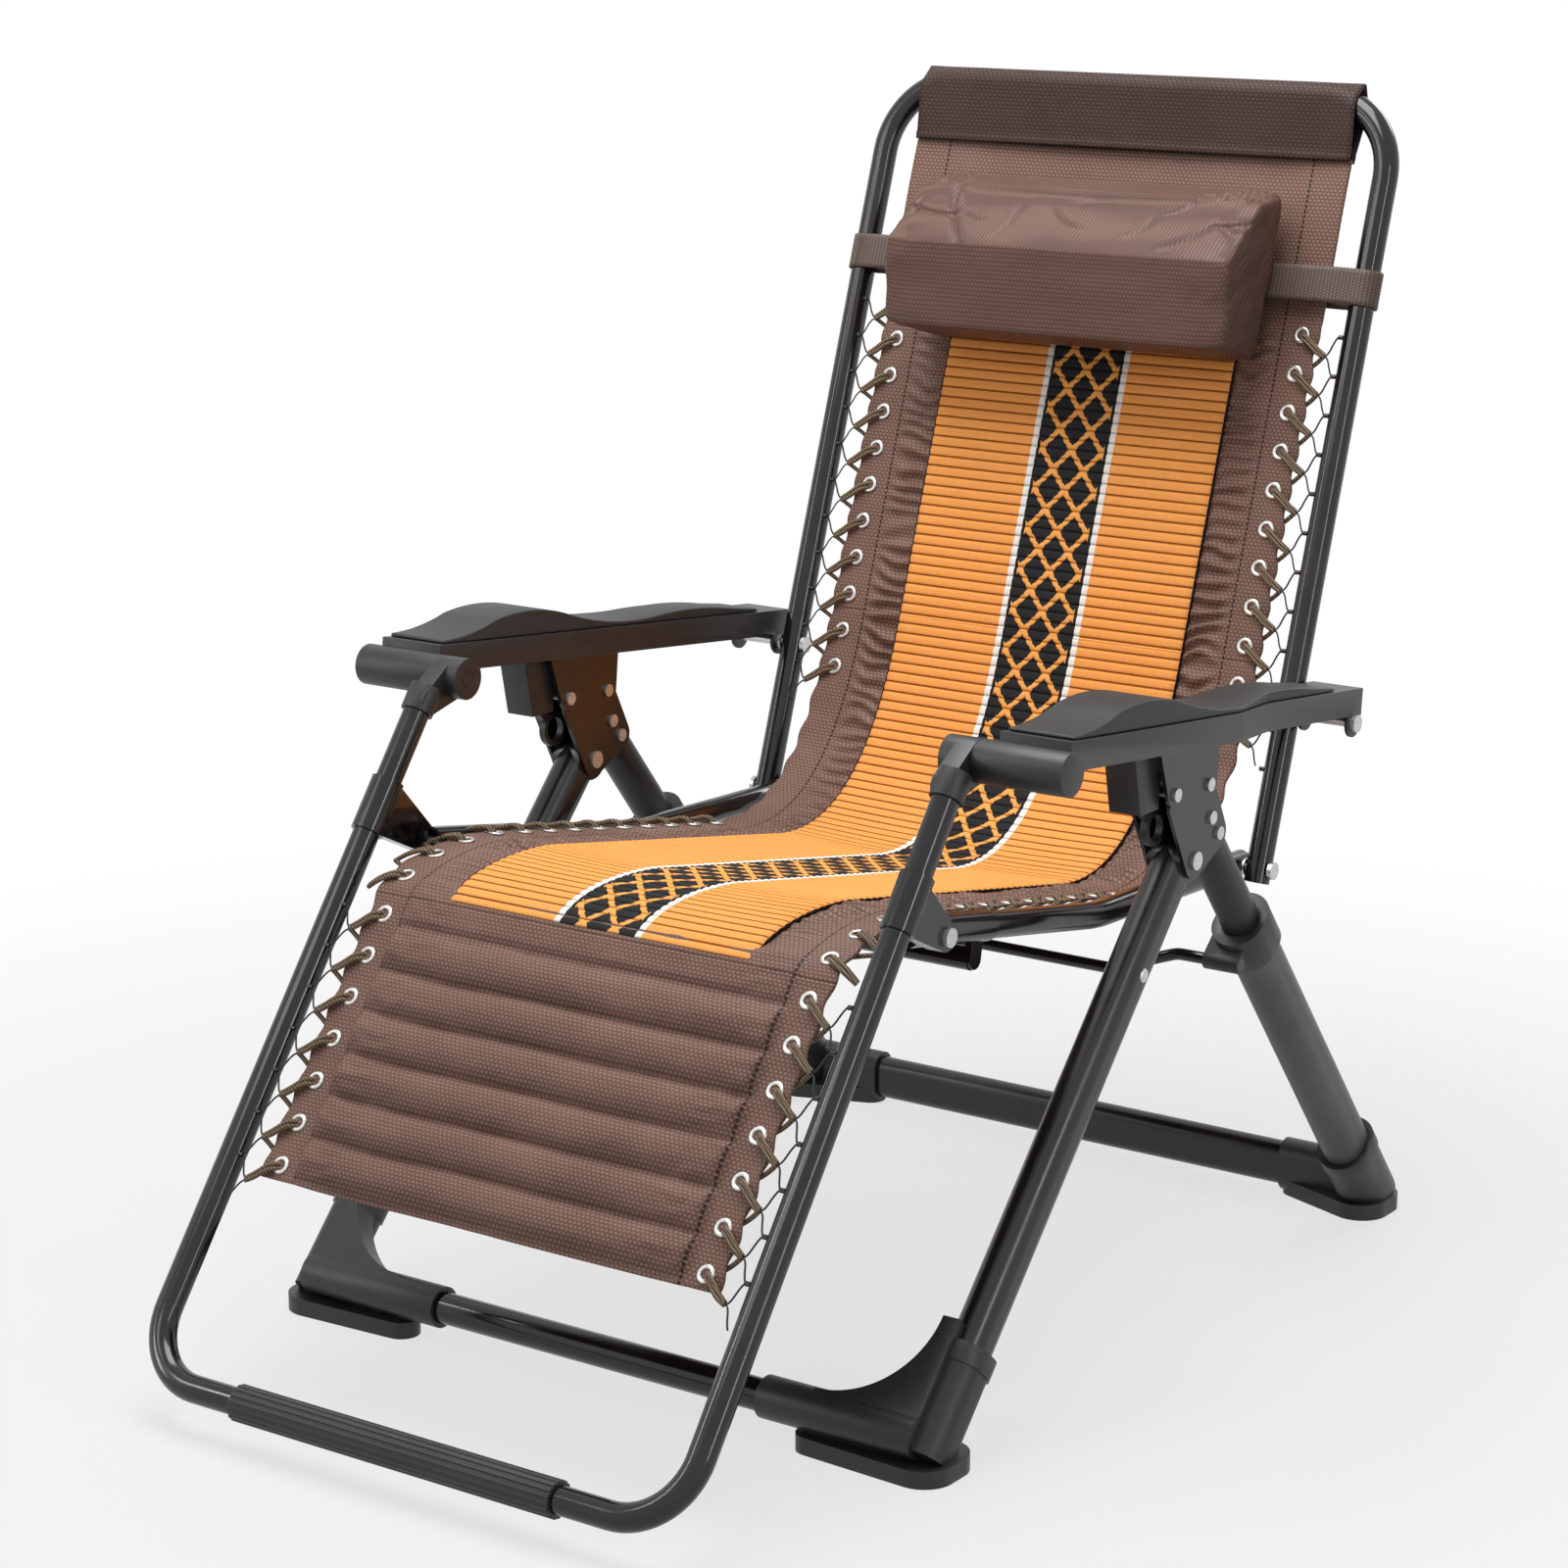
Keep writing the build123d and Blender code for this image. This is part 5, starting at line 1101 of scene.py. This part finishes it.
    def outline(self) -> tuple[list[Point], list[int]]:
        """The pillow's section as even points from corner to corner.

        Returns:
            The points, and the index of each corner.
        """
        points: list[Point] = []
        corners: list[int] = []
        ends = self.section[1:] + self.section[:1]
        for (up, out, count), (next_up, next_out, _) in zip(self.section, ends):
            corners.append(len(points))
            points += [(up + (next_up - up) * i / count, out + (next_out - out) * i / count) for i in range(count)]
        return points, corners

    def pillow(self) -> None:
        """The pillow: a sewn wedge swelled by cloth simulation, its seams kept, its corners wrinkled."""
        points, corners = self.outline()
        around, along = len(points), 64
        middle = (0.496, 0.050)
        deselect()
        bpy.ops.mesh.primitive_cylinder_add(vertices=around, radius=0.05, depth=1.0, end_fill_type="TRIFAN")
        piece = bpy.context.object
        piece.name = "head_pillow_cushion"
        bpy.ops.object.mode_set(mode="EDIT")
        bpy.ops.mesh.select_all(action="DESELECT")
        bpy.ops.mesh.select_mode(type="EDGE")
        bpy.ops.object.mode_set(mode="OBJECT")
        for edge in piece.data.edges:
            a, b = (piece.data.vertices[i].co for i in edge.vertices)
            edge.select = abs(a.z - b.z) > 0.5
        bpy.ops.object.mode_set(mode="EDIT")
        bpy.ops.mesh.subdivide_edgering(number_cuts=along - 1)
        bpy.ops.object.mode_set(mode="OBJECT")
        seams = piece.vertex_groups.new(name="seams")
        for vertex in piece.data.vertices:
            co = vertex.co
            way = co.z * 2 * (1 + self.end_rings)
            index = round(math.atan2(co.y, co.x) / (2 * math.pi) * around) % around
            inward = max(0.0, abs(way) - 1) / self.end_rings
            if math.hypot(co.x, co.y) < 0.01:
                inward = 1.0
            x = max(-1.0, min(1.0, way)) * self.pillow_half
            drawn = 0.035 * ease(abs(x), self.pillow_half * 0.86, self.pillow_half)
            keep = (1 - drawn) * (1 - inward)
            up = middle[0] + (points[index][0] - middle[0]) * keep
            out = max(self.pillow_back, middle[1] + (points[index][1] - middle[1]) * keep)
            vertex.co = self.over(x, up, out)
            if index in corners and inward < 0.05 or abs(abs(way) - 1) < 0.025:
                seams.add([vertex.index], 1.0, "REPLACE")
        choose(piece)
        bpy.ops.object.mode_set(mode="EDIT")
        bpy.ops.mesh.select_all(action="SELECT")
        bpy.ops.mesh.normals_make_consistent(inside=False)
        bpy.ops.object.mode_set(mode="OBJECT")
        self.inflate(piece)
        self.crease(piece)
        dress(piece, self.finishes["pillow_cloth"])
        choose(piece)
        bpy.ops.object.shade_smooth()
        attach(piece, "pillow")
        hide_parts("head_pillow")

    def inflate(self, piece: bpy.types.Object) -> None:
        """Swells the sewn form under pressure, held at its seams, with a cap on how far a point may move."""
        choose(piece)
        before = [v.co.copy() for v in piece.data.vertices]
        cloth = piece.modifiers.new("swell", "CLOTH")
        cloth.settings.vertex_group_mass = "seams"
        cloth.settings.use_pressure = True
        cloth.settings.uniform_pressure_force = 4.0
        cloth.settings.effector_weights.gravity = 0.0
        cloth.settings.quality = 5
        for frame in range(1, 17):
            bpy.context.scene.frame_set(frame)
        choose(piece)
        bpy.ops.object.modifier_apply(modifier="swell")
        bpy.context.scene.frame_set(1)
        plane_point = self.over(0, 0.5, self.pillow_back)
        normal = (self.over(0, 0.5, 1.0) - self.over(0, 0.5, 0.0)).normalized()
        for vertex, old in zip(piece.data.vertices, before):
            move = vertex.co - old
            if move.length > self.swell_cap:
                vertex.co = old + move.normalized() * self.swell_cap
            depth = (vertex.co - plane_point).dot(normal)
            if depth < 0:
                vertex.co -= normal * depth
        piece.vertex_groups.clear()

    def fold_depth(self, x: float, t: float) -> float:
        """Depth of the upper face's wrinkles, each a short groove with a lip beside it.

        Args:
            x: place across, from -1 to 1.
            t: place down the face, 0 at its upper crease and 1 at the ridge.

        Returns:
            The move along the face's normal, in metres.
        """
        tall = math.dist(self.section[2][:2], self.section[3][:2])
        spot = Vector((x * self.pillow_half, t * tall))
        total = 0.0
        for x0, t0, x1, t1, depth in self.wrinkles:
            start = Vector((x0 * self.pillow_half, t0 * tall))
            way = Vector((x1 * self.pillow_half, t1 * tall)) - start
            share = (spot - start).dot(way) / way.length_squared
            if -0.25 < share < 1.25:
                bow = 0.004 * math.sin(math.pi * share)
                off = (spot - start).cross(way.normalized()) + bow
                fade = ease(share, -0.25, 0.2) * (1 - ease(share, 0.8, 1.25))
                total += 1.15 * depth * MM * fade * (0.7 * math.exp(-((off - 0.0042) / 0.0034) ** 2)
                                              - math.exp(-(off / 0.0028) ** 2))
        return total

    def crease(self, piece: bpy.types.Object) -> None:
        """Refines the swelled form, then adds slack, end puckers and the upper face's wrinkles."""
        def refine(name: str) -> None:
            sub = piece.modifiers.new(name, "SUBSURF")
            sub.levels = 1
            sub.render_levels = 1
            apply_modifiers(piece)
        refine("soften")
        foot = self.over(0, 0, 0)
        up_way = self.over(0, 1, 0) - foot
        out_way = self.over(0, 0, 1) - foot
        ridge, top = self.section[2][:2], self.section[3][:2]
        down = Vector((ridge[0] - top[0], ridge[1] - top[1]))
        facing = (up_way * -down.y + out_way * down.x) * -1
        facing.normalize()
        normals = [v.normal.copy() for v in piece.data.vertices]
        for vertex, normal in zip(piece.data.vertices, normals):
            co = vertex.co
            up, out = (co - foot).dot(up_way), (co - foot).dot(out_way)
            t = Vector((up - top[0], out - top[1])).dot(down) / down.length_squared
            upper = ease(normal.dot(facing), 0.35, 0.8)
            end = ease(abs(co.x), self.pillow_half * 0.70, self.pillow_half * 0.99)
            slack = noise.noise(Vector((co.x * 14, co.y * 40, co.z * 42)))
            pucker = noise.noise(Vector((co.x * 70, co.y * 70 + 7, co.z * 70)))
            lift = 0.0014 * slack * (0.4 + end) + 0.0012 * pucker * end
            if upper > 0.0:
                lift += upper * self.fold_depth(co.x / self.pillow_half, t)
            if out > self.pillow_back + 0.002:
                vertex.co += normal * lift
        refine("finish")

    def strap(self) -> None:
        """Webbing strap: one loop round both tubes, behind the pillow."""
        reach = self.layout.tube_x
        inner = self.layout.tube_r + 0.0009
        path: list[Point] = []
        for i in range(41):
            x = -reach + 2 * reach * i / 40
            path.append((x, inner + 0.0006))
        for i in range(1, 16):
            angle = math.pi / 2 - math.pi * i / 16
            path.append((reach + (inner + 0.0006) * math.cos(angle), (inner + 0.0006) * math.sin(angle)))
        for i in range(41):
            x = reach - 2 * reach * i / 40
            path.append((x, -inner - 0.0006))
        for i in range(1, 16):
            angle = -math.pi / 2 - math.pi * i / 16
            path.append((-reach + (inner + 0.0006) * math.cos(angle), (inner + 0.0006) * math.sin(angle)))
        path.append(path[0])
        run = [0.0]
        for a, b in zip(path, path[1:]):
            run.append(run[-1] + math.dist(a, b))
        lookup = dict(zip(run, path))

        def lie(up: float, s: float) -> Vector:
            x, out = lookup[s]
            drift = 0.0012 * noise.noise(Vector((x * 12, out * 90, 2.0)))
            return self.over(x, self.strap_at + up + drift, out)
        across = spread(-self.strap_wide / 2, self.strap_wide / 2, 0.004)
        piece = cloth_sheet("pillow_strap_web", across, run, lie, 0.0012)
        choose(piece)
        bpy.ops.object.mode_set(mode="EDIT")
        bpy.ops.mesh.select_all(action="SELECT")
        bpy.ops.mesh.remove_doubles(threshold=0.00005)
        bpy.ops.mesh.normals_make_consistent(inside=False)
        bpy.ops.object.mode_set(mode="OBJECT")
        dress(piece, self.finishes["strap_web"])
        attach(piece, "pillow")
        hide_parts("pillow_strap")

    def build(self) -> None:
        """Builds the head end."""
        self.pocket()
        self.pillow()
        self.strap()
        LOG.info("pocket, pillow and strap")


@dataclass
class Frame:
    """The rigid pieces of the construction: finishes, and softened copies where edges are moulded."""

    nodes: dict[str, bpy.types.Object]
    bodies: dict[str, list[str]]
    finishes: Finishes
    paint: dict[str, str] = field(default_factory=lambda: {
        "back_tube": "tube_enamel", "legrest_tube": "tube_enamel", "seat_rail": "tube_enamel",
        "seat_bar": "tube_enamel", "front_leg": "leg_enamel", "front_crossbar": "tube_enamel",
        "rear_crossbar": "leg_enamel", "rear_stay": "tube_enamel", "rear_leg_lower": "rear_leg_grey",
        "rear_leg_upper": "rear_leg_dark", "knuckle_bolts": "zinc_plate", "bracket_bolts": "zinc_plate",
        "drum_pins": "moulded_black", "bolts": "zinc_plate", "knuckle": "leg_enamel", "arm_bracket": "leg_enamel",
        "rear_collar": "moulded_black", "boot": "moulded_black", "armrest_frame": "moulded_black",
        "legrest_head": "moulded_black", "lock": "moulded_black", "legrest_ear": "tube_enamel",
        "armrest_pad": "pad_black", "legrest_grip": "grip_black"})
    slots: dict[str, str] = field(default_factory=lambda: {
        "armrest_pad": "pad_black", "front_boot": "moulded_black", "rear_boot": "moulded_black",
        "armrest_frame": "moulded_black", "rear_collar": "moulded_black", "lock_block": "moulded_black",
        "legrest_head": "moulded_black"})

    def finish_of(self, name: str) -> str | None:
        """The finish for a node, by the first of its words that is listed."""
        for key, finish in self.paint.items():
            if key in name:
                return finish
        return None

    def soften(self, name: str, width: float) -> None:
        """A copy of a node with its edges rounded, in the node's place."""
        source = self.nodes[name]
        deselect()
        piece = source.copy()
        piece.data = source.data.copy()
        for key in [k for k in piece.keys() if k.startswith("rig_")]:
            del piece[key]
        piece.parent = None
        bpy.context.scene.collection.objects.link(piece)
        piece.name = name + "_moulded"
        piece.data.name = piece.name
        choose(piece)
        bpy.ops.object.mode_set(mode="EDIT")
        bpy.ops.mesh.select_all(action="SELECT")
        bpy.ops.mesh.remove_doubles(threshold=0.00002)
        bpy.ops.mesh.dissolve_limited(angle_limit=math.radians(1.0))
        bpy.ops.object.mode_set(mode="OBJECT")
        bevel = piece.modifiers.new("edges", "BEVEL")
        bevel.width = width
        bevel.segments = 3
        bevel.limit_method = "ANGLE"
        bevel.angle_limit = math.radians(38)
        bevel.use_clamp_overlap = True
        apply_modifiers(piece)
        smooth(piece, 45.0)
        dress(piece, self.finishes[self.finish_of(name)])
        body = next(b for b, members in self.bodies.items() if name in members)
        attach(piece, body)
        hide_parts(name)

    def build(self) -> None:
        """Paints every node and softens the moulded ones."""
        for name, node in self.nodes.items():
            finish = self.finish_of(name)
            if finish:
                dress(node, self.finishes[finish])
        for side in ("left", "right"):
            self.soften(f"armrest_pad_{side}", 0.0030)
            self.soften(f"armrest_frame_{side}", 0.0012)
            self.soften(f"front_boot_{side}", 0.0022)
            self.soften(f"rear_boot_{side}", 0.0022)
            self.soften(f"rear_collar_{side}", 0.0014)
            self.soften(f"lock_block_{side}", 0.0040)
            self.soften(f"legrest_head_{side}", 0.0016)
        LOG.info("frame of %d nodes", len(self.nodes))


@dataclass
class LegRivets:
    """The domed rivets on the front legs' outer faces."""

    finishes: Finishes
    place: Point = (0.0165, 0.322)
    face: float = 0.315
    radius: float = 0.0058
    dome: float = 0.42

    def build(self) -> None:
        """One dome for each leg, as one piece on the front stand."""
        domes = []
        for side in Side:
            deselect()
            bpy.ops.mesh.primitive_uv_sphere_add(segments=28, ring_count=14, radius=self.radius)
            dome = bpy.context.object
            bpy.ops.object.mode_set(mode="EDIT")
            bpy.ops.mesh.select_all(action="SELECT")
            bpy.ops.transform.resize(value=(self.dome, 1.0, 1.0))
            bpy.ops.object.mode_set(mode="OBJECT")
            dome.location = (side.value * self.face, *self.place)
            domes.append(dome)
        deselect()
        for dome in domes:
            dome.select_set(True)
        bpy.context.view_layer.objects.active = domes[0]
        bpy.ops.object.join()
        bpy.ops.object.transform_apply(location=True, rotation=True, scale=True)
        piece = bpy.context.object
        piece.name = "front_leg_rivets"
        bpy.ops.object.shade_smooth()
        dress(piece, self.finishes["zinc_plate"])
        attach(piece, "front_stand")
        LOG.info("rivets")


@dataclass
class Studio:
    """Pale floor, soft lights and the camera."""

    camera_at: tuple[float, float, float] = (1.7926, -2.5641, 1.2018)
    azimuth: float = 35.22
    elevation: float = 13.77
    lens: float = 90.62

    def floor(self) -> None:
        """A wide pale floor that keeps the object's shadow, under a white surround."""
        deselect()
        bpy.ops.mesh.primitive_plane_add(size=40.0)
        floor = bpy.context.object
        floor.name = "studio_floor"
        bpy.ops.object.mode_set(mode="EDIT")
        bpy.ops.mesh.subdivide(number_cuts=3)
        bpy.ops.object.mode_set(mode="OBJECT")
        material, bench, shader = start_material("floor_white")
        shader.inputs["Base Color"].default_value = (0.55, 0.55, 0.55, 1.0)
        shader.inputs["Roughness"].default_value = 0.7
        where = bench.add("ShaderNodeTexCoord").outputs["Object"]
        reach = bench.add("ShaderNodeVectorMath", {0: where}, operation="LENGTH").outputs["Value"]
        far = bench.span(reach, 0.5, 1.7, 0.70, 1.0)
        glow = bench.add("ShaderNodeEmission", {"Color": (1.0, 1.0, 1.0), "Strength": 1.0})
        blend = bench.add("ShaderNodeMixShader", {0: bench.math("MULTIPLY", self.seen(bench), far)})
        bench.feed(blend.inputs[1], shader.outputs[0])
        bench.feed(blend.inputs[2], glow.outputs[0])
        bench.feed(material.node_tree.nodes["Material Output"].inputs["Surface"], blend.outputs[0])
        dress(floor, material)

    @staticmethod
    def seen(bench: Bench) -> bpy.types.NodeSocket:
        """1 where the surround is looked at, directly, in a reflection or through glass, and 0 where it lights."""
        path = bench.add("ShaderNodeLightPath")
        mirrored = bench.math("MAXIMUM", path.outputs["Is Glossy Ray"], path.outputs["Is Transmission Ray"])
        return bench.math("MAXIMUM", path.outputs["Is Camera Ray"], mirrored)

    def sky(self) -> None:
        """White to the camera and in reflections, softer as light."""
        world = bpy.data.worlds.new("studio_surround")
        bpy.context.scene.world = world
        world.use_nodes = True
        bench = Bench(world.node_tree)
        back = world.node_tree.nodes["Background"]
        strength = bench.math("MULTIPLY_ADD", self.seen(bench), 0.78, 0.22)
        back.inputs["Color"].default_value = (1.0, 1.0, 1.0, 1.0)
        bench.feed(back.inputs["Strength"], strength)

    def lamp(self, name: str, at: tuple[float, float, float], size: tuple[float, float], power: float) -> None:
        """A soft light that faces the chair.

        Args:
            name: the light's name.
            at: its place.
            size: its width and height.
            power: its power in watts.
        """
        data = bpy.data.lights.new(name, "AREA")
        data.shape = "RECTANGLE"
        data.size, data.size_y = size
        data.energy = power
        lamp = bpy.data.objects.new(name, data)
        bpy.context.scene.collection.objects.link(lamp)
        lamp.location = at
        lamp.rotation_euler = (Vector((0, 0, 0.45)) - Vector(at)).to_track_quat("-Z", "Y").to_euler()

    def camera(self) -> None:
        """The camera at the photograph's place and angle."""
        data = bpy.data.cameras.new("view")
        data.lens = self.lens
        data.sensor_width = 36.0
        data.clip_end = 100.0
        camera = bpy.data.objects.new("view", data)
        bpy.context.scene.collection.objects.link(camera)
        camera.location = self.camera_at
        a, e = math.radians(self.azimuth), math.radians(self.elevation)
        way = Vector((-math.sin(a) * math.cos(e), math.cos(a) * math.cos(e), -math.sin(e)))
        camera.rotation_euler = way.to_track_quat("-Z", "Y").to_euler()
        bpy.context.scene.camera = camera

    def build(self) -> None:
        """Sets the stage."""
        bpy.context.scene.view_settings.view_transform = "Standard"
        self.floor()
        self.sky()
        self.lamp("overhead", (-0.15, 0.0, 2.25), (1.3, 1.3), 40.0)
        self.lamp("front_high", (-0.9, -2.1, 2.3), (1.4, 0.5), 8.0)
        self.lamp("left_strip", (-2.3, -1.9, 1.4), (0.18, 2.0), 15.0)
        self.lamp("right_strip", (2.7, -0.7, 1.4), (0.18, 2.0), 13.0)
        self.lamp("rim", (0.4, 2.6, 1.9), (1.2, 0.4), 12.0)
        self.camera()
        LOG.info("studio")


def main() -> None:
    """Builds the dressed chair in order."""
    logging.basicConfig(level=logging.INFO)
    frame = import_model()
    finishes = Finishes()
    layout = Layout()
    Frame(frame["nodes"], frame["record"]["behaviour"]["bodies"], finishes).build()
    sling = Sling(SlingLine(layout), finishes)
    sling.build()
    Lacing(sling, finishes).build()
    HeadEnd(layout, finishes).build()
    LegRivets(finishes).build()
    Studio().build()


if __name__ == "__main__":
    main()
